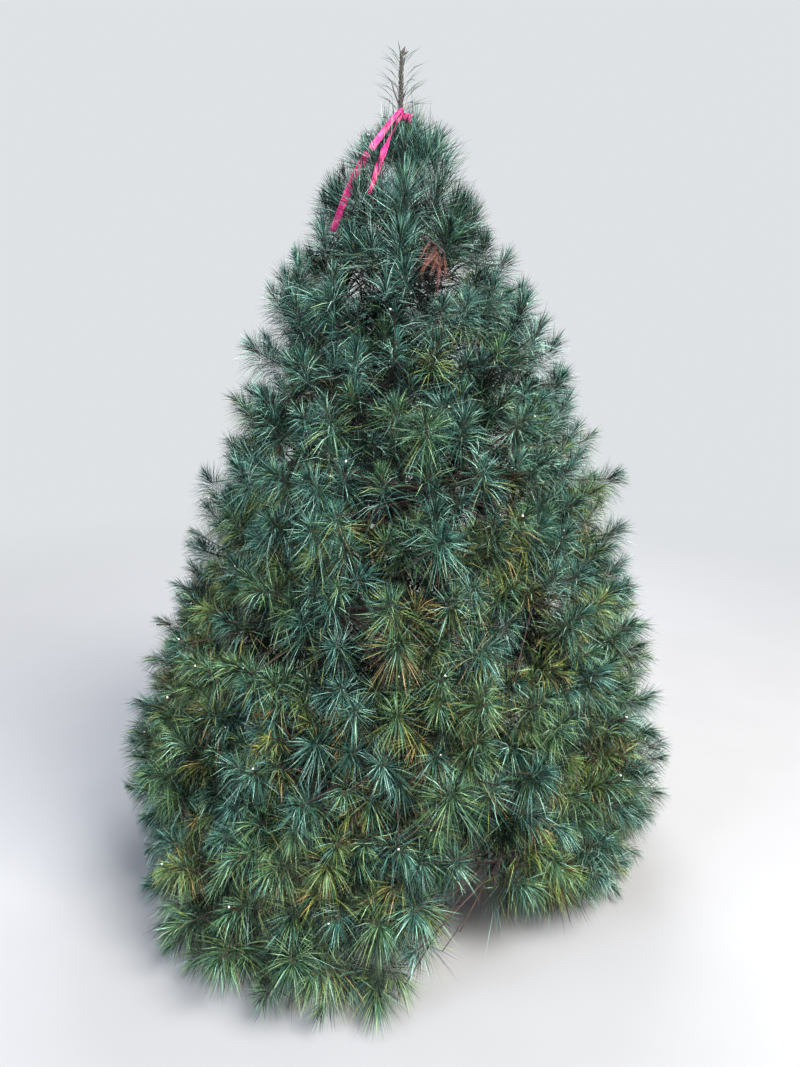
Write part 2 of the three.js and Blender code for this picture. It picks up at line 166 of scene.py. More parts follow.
# Where the skirt lets the ground show: round this azimuth, below this height
OPEN_AZIMUTH = math.radians(-70)
OPEN_SHARPNESS = 22
OPEN_HEIGHT = 390
OPEN_SHARE = 0.86  # share of the sprays that is missing there
# Heights between which the summit's, the skirt's and the bare leader's own ways of growth set in
SUMMIT_HEIGHTS = (1780, 2040)
SKIRT_HEIGHTS = (620, 220)
BARE_HEIGHTS = (2050, 2140)

# Ranks of sprays, from the outside in, and what they measure
OUTER, SIDE, DEEP, INNERMOST = range(4)
FASCICLES = np.array([310, 130, 50, 30])
LEAFY = np.array([84, 72, 70, 90])  # length of twig that carries them
REACH = np.array([101, 96, 100, 135])  # length of a needle
WIDTH = np.array([1.2, 1.6, 3.2, 6.0])  # broader where few needles have to shut out the light
LONGEST_NEEDLE = 0.105  # an outer spray's, in metres
BUNDLE = 1  # blades for a fascicle: one stands for its five needles
SPRAY_SLACK = (-14, 34)  # how far past the fringe a spray's needles may reach
SPRAY_VIGOUR = (0.66, 1.3)  # how many needles it has, and in part how long, beside the usual
NEEDLE_MIDDLE = 0.45  # how far along its needle the widest point lies
NEEDLE_MIDDLE_BEND = 0.2  # share of the tip's bend that it has there, its square in round numbers
SHORTEST_NEEDLE = 0.3  # share of its length that is left where the outline cuts it most
LOWEST_TIP = 2  # a needle whose tip is still lower is left out
# How a fascicle leaves its shoot, from the shoot's foot to its tip, in degrees from the shoot
FOOT_LEAN = 78
SUMMIT_FOOT_LEAN = 60
TIP_LEAN = 8
LEAN_EXPONENT = 0.9
LEAN_SPREAD = 0.12
SPRAY_MIDDLE = 0.72  # share of the leafy length that lies behind the spray's middle
OLD_SHARE = (0.0, 0.45)  # share of the fascicles, from the shoot's foot, that are a year older
# How a needle hangs, by its length: down at the crown's foot and at its tip, and back from its shoot
FOOT_SAG = 0.36
TIP_SAG = 0.14
SAG_CHANGE = (0.3, 1.4)
ARCH = (0.08, 0.4)
SUMMIT_ARCH = 0.24  # this much less at the summit
STRAY = 0.035
BLADE_STRAY = 0.012
# How lengths, widths and numbers change with the place and the spray
SUMMIT_THINNER = 0.1
BARE_THINNER = 0.6
SKIRT_LEAFIER = 0.3
SUMMIT_LONGER = 0.26
SKIRT_LONGER = 0.16
VIGOUR_LONGER = 0.6
FOOT_LENGTH = 1.04
TIP_LENGTH = 0.84
LENGTH_CHANGE = (0.9, 1.08)
WIDTH_CHANGE = (0.85, 1.15)
OWN_TONE_SHARE = 0.25  # share of the needles that do not take their fascicle's tone

# Kinds of twig: the curves' key, the radius at foot and tip, and the number of sides
TWIG_KINDS = (("twigs", 3.4, 1.5, 5), ("sides", 1.9, 1.2, 3), ("deeps", 1.9, 1.2, 3))
# How far twigs of each kind run on into their spray, and how far their middles sag
TWIG_END, SIDE_END, DEEP_END = 12, 8, 6
TWIG_SAG, DEEP_SAG = 12, 10
FORK = (3, 5)  # between which points of an outer twig the side ones fork off

# Buds beside and at the end of a shoot, the stubs that the shears left, and the resin on them
BUD_PLACE = 11
BUD_LENGTH = (10, 16)
BUD_RADIUS = (2.2, 3.2)
SIDE_BUD_SHARE = 0.35
SIDE_BUD_SLOPE = 0.8
SIDE_BUD_LENGTH = (6, 10)
SIDE_BUD_SLIMNESS = 0.24
STUB_SHARE = 0.2
STUB_SLOPE = 0.5
STUB_LENGTH = (26, 46)
STUB_RADII = (2.2, 2.1, 2.0, 2.1, 2.2)
DROP_LENGTH = (4, 8)
DROP_RADIUS = (2.3, 3.6)
DROP_SUNK = 2

# The leader's needles, end buds and scales
LEADER_FASCICLES = 52
LEADER_BUNDLE = 3
LEADER_REACH = 112
LEADER_REACH_CHANGE = (0.75, 1.15)
LEADER_LIFT = (0.62, 0.95)  # from its foot to its tip, in radians
LEADER_LIFT_CHANGE = (-0.2, 0.2)
LEADER_SAG = 0.34
LEADER_SAG_CHANGE = (0.6, 1.3)
LEADER_WIDTH = 1.4
LEADER_BUD_AXES = [[0.45, -0.1, 1], [-0.3, 0.2, 1], [0.2, 0.5, 0.9], [0.9, 0.1, 0.5]]
LEADER_BUD_LENGTHS = [24.0, 14, 14, 22]
LEADER_BUD_RADII = [4.6, 3.6, 3.6, 3.8]
SCALES = 130
SCALE_LIFT = 1.1
SCALE_LENGTH = (8, 12)
SCALE_RADIUS = (1.8, 2.7)

# The dead spray
DEAD_FOOT = [60.0, -252.0, 1872.0]
DEAD_TWIG = [64, -54, -46]
DEAD_FASCICLES = 20
DEAD_BUNDLE = 3
DEAD_REACH = (50, 104)
DEAD_WIDTH = 1.5

# The ribbon, with knots of each band's spine from the knot on the leader, the way it lies flat there
# and its share of the full width
KNOT_HEIGHT = 2227.0
FILM_THICKNESS = 0.3
FILM_COLUMNS = 9
RIPPLE_DEPTH = 1.6
RIPPLE_RATE = 27
RIPPLE_SLANT = 2.5
# Two turns round the leader, off the bark by a little that comes and goes, and the knot's own lump
WIND_ROOM = 1.2
WIND_RIPPLE = 0.8
WIND_SLANT = 2.5
WIND_SHARE = 0.6
WIND_STEPS = 64
LUMP_PLACE = [-5, -9, 6]
LUMP_AXIS = [0.5, -0.1, -0.85]
LUMP_LENGTH = 15.0
LUMP_RADIUS = 5.0
LONG_TAIL = dict(
    spine=[[-1, -12, 4], [-41, -72, -58], [-120, -122, -178], [-190, -92, -326]],
    flat=[[0.8, -0.3, -0.4], [0.86, -0.1, -0.5], [0.86, 0.2, -0.5], [0.84, 0.25, -0.45]],
    share=[0.46, 0.6, 0.7, 0.66],
    steps=60,
)
SHORT_TAIL = dict(
    spine=[[3, -13, -8], [-24, -78, -70], [-50, -130, -138], [-84, -160, -238]],
    flat=[[0.7, -0.5, -0.2], [0.35, -0.9, -0.1], [0.9, -0.1, -0.3], [0.8, 0.4, -0.3]],
    share=[0.3, 0.45, 0.62, 0.36],
    steps=50,
)
LOOP = dict(
    spine=[[0, -11, -6], [12, -18, -13], [27, -20, -18], [29, -16, -20], [14, -12, -20], [0, -10, -10]],
    flat=[[0.1, -0.2, 1], [0.2, -0.1, 1], [0.25, 0, 1], [0.25, 0, 1], [0.35, 0.1, 1], [0.1, 0.1, 1]],
    share=[0.25, 0.55, 0.72, 0.75, 0.6, 0.25],
    steps=40,
)

# The stage, in metres
STAGE_SIDES = 64
DOME_RADIUS = 14
DOME_RINGS = 24
DOME_FOOT = -0.05  # share of a right angle by which the dome starts below the floor
FLOOR_RINGS = (0.3, 1.5, 5, 14)
FLOOR_FADE = (1.3, 5.5)
SKY_COLOUR = "#eff2f5"
LIGHT_TARGET = (0, 0, 1.1)
EYE_LEVEL = 1.64
CAMERA_PLACE = (0.009, -2.56, EYE_LEVEL)
CAMERA_DIP = 13.9  # degrees below level
SENSOR = 36  # millimetres
FOCAL_PIXELS = 832.6
PHOTO_HEIGHT_PIXELS = 1067


def linear(code):
    """A colour of sRGB hex digits as the linear red, green and blue that Blender works in."""
    parts = [int(code[i : i + 2], 16) / 255 for i in (1, 3, 5)]
    return tuple(c / 12.92 if c <= 0.04045 else ((c + 0.055) / 1.055) ** 2.4 for c in parts)


# The tones of needles. The first is a near-black green, painted shade between and behind the lit needles;
# the second is a very dark green, partly the real dark of old needles and partly painted shade
TONES = {
    "painted_shade_green": "#070c0a",
    "deep_green_painted_shade": "#10211b",
    "blue_green": "#3a6d61",
    "mid_green": "#456e43",
    "glaucous": "#90bca9",
    "pale_green": "#8bae7a",
    "yellow_green": "#808f40",
    "olive": "#4a5129",
    "straw": "#a58a52",
    "rust": "#6a3f2b",
}
GLOSS = 0.5
# The wax of needles that grew in shade is thinner and dusty, and the two painted shade tones get little
# sheen too, so that they stay dark
DULL = {"painted_shade_green": 0.05, "deep_green_painted_shade": 0.2, "olive": 0.25, "rust": 0.2}
# What share of a spray's needles has each tone, for the kinds of spray
SPRAYS = {
    "blue": (0.25, 0.28, 0.33, 0.03, 0.10, 0.01, 0.0, 0.0, 0.0, 0.0),
    "green": (0.27, 0.27, 0.09, 0.23, 0.03, 0.08, 0.03, 0.0, 0.0, 0.0),
    "yellow": (0.22, 0.16, 0.0, 0.23, 0.0, 0.10, 0.20, 0.06, 0.03, 0.0),
    "old": (0.32, 0.12, 0.0, 0.07, 0.0, 0.02, 0.17, 0.18, 0.11, 0.01),
    "dead": (0.20, 0.08, 0.0, 0.06, 0.0, 0.0, 0.12, 0.22, 0.18, 0.14),
    # The hidden kind, of the deep and innermost sprays, is mostly painted shade: near-black needles inside
    # the crown
    "hidden": (0.82, 0.13, 0.0, 0.02, 0.0, 0.0, 0.0, 0.03, 0.0, 0.0),
    "fresh": (0.08, 0.10, 0.05, 0.25, 0.08, 0.28, 0.16, 0.0, 0.0, 0.0),
    # Summit sprays darkened as painted shade
    "summit_painted_shade": (0.33, 0.36, 0.20, 0.08, 0.03, 0.0, 0.0, 0.0, 0.0, 0.0),
}
KINDS = list(SPRAYS)
# What share of the sprays is of each kind, at the crown's foot and at its top, for outer sprays, side
# sprays and deep ones, and between which heights one changes to the other
OUTER_SHARES = (
    (0.38, 0.57, 0.05, 0.0, 0.0, 0.0, 0.0, 0.0),
    (0.93, 0.0, 0.0, 0.0, 0.0, 0.0, 0.0, 0.07),
)
SIDE_SHARES = (
    (0.06, 0.27, 0.20, 0.20, 0.04, 0.23, 0.0, 0.0),
    (0.42, 0.06, 0.0, 0.02, 0.0, 0.30, 0.0, 0.20),
)
DEEP_SHARES = (
    (0.0, 0.02, 0.06, 0.20, 0.03, 0.69, 0.0, 0.0),
    (0.0, 0.03, 0.0, 0.03, 0.0, 0.94, 0.0, 0.0),
)
SHARE_HEIGHTS = (600, 1750)
# Against the sky the summit looks dark, so above this height many outer and side sprays take a darker
# kind, as painted shade
DUSK_HEIGHT = 1840
DUSK_SHARE = 0.6
# Sprays that stand out in the photograph: where, how far round, and their kind
MARKS = (
    ((185, -440, 1500), 62, "yellow"),
    ((-485, -459, 972), 75, "fresh"),
    ((-243, -804, 410), 60, "dead"),
)


# Arithmetic of shapes


def mix(a, b, t):
    return a + (b - a) * t


def progress(values, start, end):
    """How far values have gone from start towards end, held between 0 and 1."""
    return np.clip((values - start) / (end - start), 0, 1)


def unit(vectors):
    return vectors / np.linalg.norm(vectors, axis=-1, keepdims=True)


def polar(radius, azimuth, z):
    """Points at a radius and azimuth round the trunk's line, at height z."""
    return np.stack(np.broadcast_arrays(radius * np.cos(azimuth), radius * np.sin(azimuth), z), -1)


def radius_of(points):
    return np.hypot(points[:, 0], points[:, 1])


def azimuth_of(points):
    return np.arctan2(points[:, 1], points[:, 0])


def facing(azimuth, centre, sharpness):
    """A bump round the trunk: 1 at the centre azimuth, and cos^sharpness of the angle from it."""
    return np.maximum(0, np.cos(azimuth - centre)) ** sharpness


def bezier(start, bend, end, steps):
    """Quadratic curves, (1 - t)^2 start + 2 t (1 - t) bend + t^2 end, at even steps of t from 0 to 1."""
    t = np.linspace(0, 1, steps)[:, None]
    start, bend, end = (np.asarray(p, float)[..., None, :] for p in (start, bend, end))
    return (1 - t) ** 2 * start + 2 * t * (1 - t) * bend + t**2 * end


def hermite(values, t):
    """A smooth run through values at even knots: cubic pieces that share their slope at each knot."""
    knots = np.linspace(0, 1, len(values))
    slope = np.gradient(values, knots, axis=0)
    i = np.clip(np.searchsorted(knots, t, side="right") - 1, 0, len(knots) - 2)
    gap = knots[i + 1] - knots[i]
    u = (t - knots[i]) / gap
    extra = (slice(None),) + (None,) * (values.ndim - 1)
    u, gap = u[extra], gap[extra]
    return (
        (2 * u**3 - 3 * u**2 + 1) * values[i]
        + (u**3 - 2 * u**2 + u) * gap * slope[i]
        + (3 * u**2 - 2 * u**3) * values[i + 1]
        + (u**3 - u**2) * gap * slope[i + 1]
    )


def across_axis(axis):
    """Two unit vectors square to each axis and to each other."""
    nearly_upright = 0.9
    reference = np.where(np.abs(axis[..., 2:]) < nearly_upright, UP, [1.0, 0.0, 0.0])
    side = unit(np.cross(reference, axis))
    return side, np.cross(axis, side)


def tilt(axis, slope, rng):
    """Axes that lean to a random side by a slope: axis + slope (cos a side + sin a rise)."""
    turn = rng.uniform(0, TURN, (len(axis), 1))
    side, rise = across_axis(axis)
    return unit(axis + slope * (np.cos(turn) * side + np.sin(turn) * rise))


def grid(rings):
    """The numbers of the points in rings, in the rings' own order."""
    return np.arange(rings[..., 0].size).reshape(rings.shape[:-1])


def side_walls(ring, turned=False):
    """Four-sided faces from each closed ring of point numbers to the next. Turned ones look the other
    way round."""
    here, there = ring[..., :-1, :], ring[..., 1:, :]
    corners = [here, np.roll(here, -1, -1), np.roll(there, -1, -1), there]
    if turned:
        corners[1:] = corners[:0:-1]
    return np.stack(corners, -1).reshape(-1, 4)


def closed_tubes(rings, foot, tip):
    """Points and faces of tubes through rings, with a fan round foot and round tip to close them."""
    ring = grid(rings)
    count, _, sides = ring.shape
    poles = ring.size + np.arange(2 * count).reshape(2, count, 1) + np.zeros((1, 1, sides), int)
    first, last = ring[:, 0], ring[:, -1]
    fans = [
        np.stack([poles[0], np.roll(first, -1, 1), first], -1),
        np.stack([poles[1], last, np.roll(last, -1, 1)], -1),
    ]
    points = np.concatenate([rings.reshape(-1, 3), foot, tip])
    return points, [side_walls(ring), np.concatenate(fans).reshape(-1, 3)]


def tubes(paths, radii, sides):
    """Closed limbs, several at once: path(j) + radius(j) (cos a side + sin a rise), where side and rise
    stand square to the path and a goes once round. Radii may differ from side to side too."""
    steepness = 0.8
    along = unit(np.gradient(paths, axis=1))
    trend = np.abs(paths[:, -1:] - paths[:, :1])
    steep = trend[..., 2:] > steepness * np.linalg.norm(trend, axis=-1, keepdims=True)
    side = unit(np.cross(along, np.where(steep, [1.0, 0.0, 0.0], UP)))
    rise = np.cross(along, side)
    angle = np.arange(sides)[:, None] / sides * TURN
    radii = radii.reshape(*radii.shape, 1) if radii.ndim == 2 else radii
    out = np.cos(angle) * side[:, :, None] + np.sin(angle) * rise[:, :, None]
    rings = paths[:, :, None] + radii[..., None] * out
    return closed_tubes(rings, paths[:, 0], paths[:, -1])


def even_tubes(paths, thick, thin, sides):
    """Closed limbs that all taper evenly from a thick foot to a thin tip."""
    return tubes(paths, np.tile(np.linspace(thick, thin, paths.shape[1]), (len(paths), 1)), sides)


def blades(base, direction, length, width, bend, roll):
    """Needles as slim blades of two faces, p(t) = base + length (t direction - t^2 bend), with a point
    at t = 0 and at t = 1, and half a width to either side between them."""
    middle = base + length[:, None] * (NEEDLE_MIDDLE * direction - NEEDLE_MIDDLE_BEND * bend)
    tip = base + length[:, None] * (direction - bend)
    side, rise = across_axis(direction)
    flat = (np.cos(roll)[:, None] * side + np.sin(roll)[:, None] * rise) * (width / 2)[:, None]
    points = np.stack([base, middle - flat, middle + flat, tip], 1)
    start = 4 * np.arange(len(base))[:, None, None]
    faces = start + np.array([[0, 1, 2], [1, 3, 2]])
    return points.reshape(-1, 3), [faces.reshape(-1, 3)]


def spindles(foot, axis, length, radius, sides):
    """Buds and scales: closed tubes along a straight axis, that swell and then draw to a point."""
    t = np.array([0, 0.3, 0.65, 1.0])
    swelling = np.array([0.6, 1.0, 0.75, 0.12])
    paths = foot[:, None] + axis[:, None] * (length[:, None] * t)[..., None]
    return tubes(paths, radius[:, None] * swelling, sides)


def film(spine, flat, share, width, steps):
    """A thin film along a spine: p(t, s) = spine(t) + s width share(t) / 2 flat(t) + a ripple square to
    both, with s from -1 to 1, and a back layer behind it that its edges join. The spine, the way it
    lies flat and its share of the full width are given at knots and run smoothly between them."""
    t = np.linspace(0, 1, steps)
    line, flat, share = (hermite(np.array(values, float), t) for values in (spine, flat, share))
    along, flat = unit(np.gradient(line, axis=0)), unit(flat)
    flat = unit(flat - (flat * along).sum(1, keepdims=True) * along)
    normal = np.cross(along, flat)
    s = np.linspace(-1, 1, FILM_COLUMNS)
    # The narrower it is gathered, the more it ripples
    ripple = RIPPLE_DEPTH * np.sin(RIPPLE_RATE * t[:, None] + RIPPLE_SLANT * s) * (1.2 - share[:, None])
    sheet = (
        line[:, None]
        + flat[:, None] * (s * width / 2 * share[:, None])[..., None]
        + normal[:, None] * ripple[..., None]
    )
    loop = np.concatenate([sheet, sheet[:, ::-1] + FILM_THICKNESS * normal[:, None]], axis=1)
    ring = grid(loop)
    near, far = ring[:, : len(s)], ring[:, len(s) :][:, ::-1]
    ends = [
        np.stack([near[row, :-1], near[row, 1:], far[row, 1:], far[row, :-1]], -1)[:, ::order]
        for row, order in ((0, 1), (-1, -1))
    ]
    return loop.reshape(-1, 3), [side_walls(ring, turned=True), *ends]


def lattice_noise(u, v, cells_round, cells_up, seed):
    """Smooth bumps from -1 to 1 over a surface: random values at lattice points, mixed by s(t) = t^2
    (3 - 2 t) between them. u and v run from 0 to 1, and u joins up with itself."""
    values = np.random.default_rng(seed).uniform(-1, 1, (cells_up + 2, cells_round))
    x, y = (u % 1) * cells_round, np.clip(v, 0, 1) * cells_up
    i, j = np.floor(x).astype(int) % cells_round, np.floor(y).astype(int)
    s, t = x - np.floor(x), y - np.floor(y)
    s, t = s * s * (3 - 2 * s), t * t * (3 - 2 * t)
    right = (i + 1) % cells_round
    low = mix(values[j, i], values[j, right], s)
    return mix(low, mix(values[j + 1, i], values[j + 1, right], s), t)


# Meshes and materials


def make_piece(name, shapes, material, slot, replaced=(), along=None):
    """One piece from shapes, each of points in millimetres and a list of face arrays. Where along is
    given, it says for each point how far along its needle it lies, from 0 to 1. A piece whose slot is
    "stage" stays loose as part of the stage; any other is hung on the root body and hides the parts
    that it replaces. The slot is not used beyond that."""
    points = np.concatenate([shape[0] for shape in shapes]) * MILLIMETRE
    starts = np.cumsum([0] + [len(shape[0]) for shape in shapes])
    faces = [face + start for (_, lists), start in zip(shapes, starts) for face in lists]
    corners = np.concatenate([face.ravel() for face in faces])
    sizes = np.concatenate([np.full(len(face), face.shape[1]) for face in faces])
    mesh = bpy.data.meshes.new(name)
    mesh.vertices.add(len(points))
    mesh.vertices.foreach_set("co", points.astype(np.float32).ravel())
    mesh.loops.add(len(corners))
    mesh.loops.foreach_set("vertex_index", corners.astype(np.int32))
    mesh.polygons.add(len(sizes))
    mesh.polygons.foreach_set("loop_start", (np.cumsum(sizes) - sizes).astype(np.int32))
    mesh.polygons.foreach_set("use_smooth", np.full(len(sizes), True))
    if along is not None:
        layer = mesh.attributes.new("along", "FLOAT", "POINT")
        layer.data.foreach_set("value", along.astype(np.float32))
    mesh.update(calc_edges=True)
    mesh.materials.append(material)
    piece = bpy.data.objects.new(name, mesh)
    bpy.context.scene.collection.objects.link(piece)
    if slot == "stage":
        return piece
    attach(piece, "root")
    if replaced:
        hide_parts(*replaced)
    return piece


def add_node(material, kind, sockets=None, stops=(), **settings):
    """Adds one shader node with its settings. A socket takes a value, another node's output to link, or
    another node, whose first output is meant. A colour ramp also takes its stops."""
    node = material.node_tree.nodes.new("ShaderNode" + kind)
    for name, value in settings.items():
        setattr(node, name, value)
    for name, value in (sockets or {}).items():
        if isinstance(value, bpy.types.Node):
            value = value.outputs[0]
        if isinstance(value, bpy.types.NodeSocket):
            material.node_tree.links.new(value, node.inputs[name])
        else:
            node.inputs[name].default_value = value
    if stops:
        ramp = node.color_ramp.elements
        while len(ramp) < len(stops):
            ramp.new(0.5)
        for element, (position, colour) in zip(ramp, stops):
            element.position = position
            element.color = (*colour, 1)
    return node


def start_material(name):
    """An empty material, and the object coordinates that its patterns read."""
    material = bpy.data.materials.new(name)
    material.use_nodes = True
    material.node_tree.nodes.clear()
    return material, add_node(material, "TexCoord").outputs["Object"]


def finish_material(material, **sockets):
    """Adds the shader, whose sockets are named with _ for a space, and the output."""
    values = {name.replace("_", " "): value for name, value in sockets.items()}
    shader = add_node(material, "BsdfPrincipled", values)
    add_node(material, "OutputMaterial", {"Surface": shader})
    return material


def needle_material(name, colour, roughness, gloss):
    """Pine needle: a waxy skin over green flesh, with rows of white pores. The wax gives a soft sheen,
    and the pores a paler, bluer side that shows here and there along a needle."""
    material, place = start_material(name)
    # Fascicles lie some 5 mm apart, and a spray's colour drifts over about 150 mm
    fine = add_node(material, "TexNoise", {"Vector": place, "Scale": 180.0, "Detail": 1.0})
    broad = add_node(material, "TexNoise", {"Vector": place, "Scale": 7.0, "Detail": 2.0})
    drift = add_node(material, "Math", {0: fine, 1: broad}, operation="MULTIPLY")
    # Darker at its foot, in part for the fascicle's papery wrap and in part as painted shade for a spray's
    # shaded middle, and paler towards its tip as a painted highlight
    along = add_node(material, "Attribute", attribute_name="along").outputs["Fac"]
    grown = add_node(material, "Math", {0: along, 1: 0.42, 2: drift}, operation="MULTIPLY_ADD")
    sheath_and_painted_shade = tuple(0.2 * c for c in colour)
    tip = tuple(min(1.0, 1.3 * c + 0.012) for c in colour)
    tint = add_node(
        material, "ValToRGB", {"Fac": grown}, stops=[(0.2, sheath_and_painted_shade), (0.44, colour), (0.72, tip)]
    )
    return finish_material(
        material, Base_Color=tint, Roughness=roughness, IOR=1.45, Specular_IOR_Level=gloss
    )


def bark_material(name, pale, dark, crack_scale, roughness):
    """Young white pine bark: thin, smooth and grey-green over brown, crossed by fine cracks and pores,
    as it grew. It looks dull, with paler crests and dark hollows. crack_scale is cracks in a metre."""
    material, place = start_material(name)
    # Patches of about 25 mm, and cracks drawn out along the limb
    patches = add_node(material, "TexNoise", {"Vector": place, "Scale": 40.0, "Detail": 5.0})
    stretched = add_node(material, "Mapping", {"Vector": place, "Scale": (1.0, 1.0, 0.35)})
    cracks = add_node(
        material, "TexVoronoi", {"Vector": stretched, "Scale": crack_scale}, feature="DISTANCE_TO_EDGE"
    )
    tint = add_node(material, "ValToRGB", {"Fac": patches}, stops=[(0.3, dark), (0.7, pale)])
    cracked = [(0.0, (0.45, 0.4, 0.36)), (0.12, (1.0, 1.0, 1.0))]
    shade = add_node(material, "ValToRGB", {"Fac": cracks}, stops=cracked)
    colour = add_node(
        material, "MixRGB", {"Fac": 1.0, "Color1": tint, "Color2": shade}, blend_type="MULTIPLY"
    )
    bump = add_node(material, "Bump", {"Height": cracks, "Strength": 0.5, "Distance": 0.002})
    return finish_material(material, Base_Color=colour, Roughness=roughness, Normal=bump)


def bud_material():
    """Overlapping papery scales of a winter bud, about 1.5 mm each, under a thin coat of resin."""
    material, place = start_material("resinous_bud_scales")
    scales = add_node(material, "TexVoronoi", {"Vector": place, "Scale": 600.0})
    stops = [(0.1, linear("#74493b")), (0.7, linear("#43281f"))]
    tint = add_node(material, "ValToRGB", {"Fac": scales}, stops=stops)
    return finish_material(material, Base_Color=tint, Roughness=0.5, Coat_Weight=0.3)


def resin_material():
    """Resin that ran from a cut and dried white, in grains of about 1 mm."""
    material, place = start_material("dried_resin")
    grains = add_node(material, "TexNoise", {"Vector": place, "Scale": 900.0})
    stops = [(0.3, linear("#c9c3b4")), (0.7, linear("#f1efe8"))]
    tint = add_node(material, "ValToRGB", {"Fac": grains}, stops=stops)
    return finish_material(material, Base_Color=tint, Roughness=0.4)


def film_material(colour):
    """Thin vinyl film, calendered: a soft gloss, with fine creases about 6 mm apart where it was
    pulled."""
    material, place = start_material("flagging_film")
    creases = add_node(material, "TexNoise", {"Vector": place, "Scale": 160.0, "Detail": 3.0})
    # The colour follows the creases' relief: paler on their rises as a painted highlight, darker in their
    # dips as painted shade
    pale = tuple(min(1.0, c * 1.1 + 0.015) for c in colour)
    deep = tuple(0.82 * c for c in colour)
    tint = add_node(material, "ValToRGB", {"Fac": creases}, stops=[(0.3, deep), (0.7, pale)])
    bump = add_node(material, "Bump", {"Height": creases, "Strength": 0.4, "Distance": 0.002})
    return finish_material(
        material, Base_Color=tint, Roughness=0.5, IOR=1.5, Specular_IOR_Level=0.3, Normal=bump
    )


def floor_material(colour, strength):
    """Matt paint on board: an even pale grey that varies by a hair over about 300 mm. It fades into the
    backdrop a few metres off, as a studio's curved paper does."""
    material, place = start_material("matt_floor_paint")
    drift = add_node(material, "TexNoise", {"Vector": place, "Scale": 3.0})
    near = tuple(0.97 * c for c in colour)
    tint = add_node(material, "ValToRGB", {"Fac": drift}, stops=[(0.3, near), (0.7, tuple(colour))])
    paint = add_node(material, "BsdfPrincipled", {"Base Color": tint, "Roughness": 0.9})
    far = add_node(material, "VectorMath", {0: place}, operation="LENGTH").outputs["Value"]
    fade = add_node(
        material,
        "MapRange",
        {"Value": far, "From Min": FLOOR_FADE[0], "From Max": FLOOR_FADE[1]},
        interpolation_type="SMOOTHSTEP",
    )
    glow = add_node(material, "Emission", {"Color": (*linear(SKY_COLOUR), 1), "Strength": strength})
    blend = add_node(material, "MixShader", {0: fade, 1: paint, 2: glow})
    add_node(material, "OutputMaterial", {"Surface": blend})
    return material


def backdrop_material(strength):
    """Pale paper, lit so evenly from behind that it shows no grain from this far."""
    material, _ = start_material("backdrop_paper")
    glow = add_node(material, "Emission", {"Color": (*linear(SKY_COLOUR), 1), "Strength": strength})
    add_node(material, "OutputMaterial", {"Surface": glow})
    return material


# The source's rule, for whole arrays of points


def seeded_random(seed):
    """The source's repeatable random numbers from 0 to 1."""
    state = seed & 0xFFFFFFFF

    def draw():
        nonlocal state
        state = (state + 0x6D2B79F5) & 0xFFFFFFFF
        mixed = ((state ^ (state >> 15)) * (state | 1)) & 0xFFFFFFFF
        mixed ^= (mixed + (((mixed ^ (mixed >> 7)) * (mixed | 61)) & 0xFFFFFFFF)) & 0xFFFFFFFF
        return ((mixed ^ (mixed >> 14)) & 0xFFFFFFFF) / 4294967296

    return draw


def crown_radius(z, azimuth):
    """The sheared outline: a rounded cone, R (1 - climb)^0.63, drawn in at the skirt, fuller to one
    side at mid height, a little lumpy, and spread at the front of its foot."""
    climb = np.minimum(0.999, (z - CROWN_WAIST) / (CROWN_TIP - CROWN_WAIST))
    cone = CROWN_RADIUS * (1 - climb) ** CROWN_ROUNDNESS
    drop = np.maximum(0, (SKIRT_HEIGHT - z) / SKIRT_DEPTH)
    skirt = 1 - SKIRT_DRAW_IN * drop**1.6
    bias = SIDE_BIAS * np.sin(math.pi * (z - SIDE_BIAS_START) / SIDE_BIAS_SPAN)
    lumps = LUMPS * (np.sin(3 * azimuth + z / 170) + np.sin(5 * azimuth - z / 110 + 1))
    spread = (
        SKIRT_SPREAD
        * np.minimum(1, drop)
        * facing(azimuth, SKIRT_SPREAD_AZIMUTH, SKIRT_SPREAD_SHARPNESS)
    )
    return cone * skirt * (1 + bias * np.cos(azimuth) + lumps) + spread


def mean_radius(z):
    return float(crown_radius(z, math.pi / 2))


def tier_top(tier, radius):
    return tier["top"] + tier["rise"] * (radius - mean_radius(tier["top"]))


def tier_floor(index, radius, azimuth):
    if index:
        return tier_top(TIERS[index - 1], radius)
    return GROUND_GAP + SKIRT_LIFT * facing(azimuth, SKIRT_LIFT_AZIMUTH, SKIRT_LIFT_SHARPNESS)


def height_in(cell, radius, azimuth, level):
    floor = tier_floor(cell["index"], radius, azimuth)
    return mix(floor, tier_top(cell["tier"], radius), (level + 1) / 2)


def cell_point(cell, across, level, depth):
    """Points of a cell from its own coordinates: across the sector and up the tier, each from -1 to 1,
    and in from the outline, which is found by halving the range of radii."""
    across, level, depth = np.broadcast_arrays(
        *(np.asarray(a, float) for a in (across, level, depth))
    )
    azimuth = mix(cell["start"], cell["end"], (across + 1) / 2)
    low = np.zeros(azimuth.shape)
    high = np.full(azimuth.shape, 2.0 * CROWN_RADIUS)
    for _ in range(40):
        middle = (low + high) / 2
        inside = crown_radius(height_in(cell, middle, azimuth, level), azimuth) > middle
        low = np.where(inside, middle, low)
        high = np.where(inside, high, middle)
    radius = low - depth * cell["shell"]
    return polar(radius, azimuth, height_in(cell, radius, azimuth, level))


def trunk_centre(z):
    """The trunk's line: it leans towards +X and sways as sine waves of its height."""
    climb = np.asarray(z, float) / TRUNK_TOP
    x = TRUNK_LEAN * climb + TRUNK_SWAY * np.sin(TURN * climb)
    y = 0.6 * TRUNK_SWAY * np.sin(3.5 * math.pi * climb)
    return np.stack([x, y, climb * TRUNK_TOP], -1)


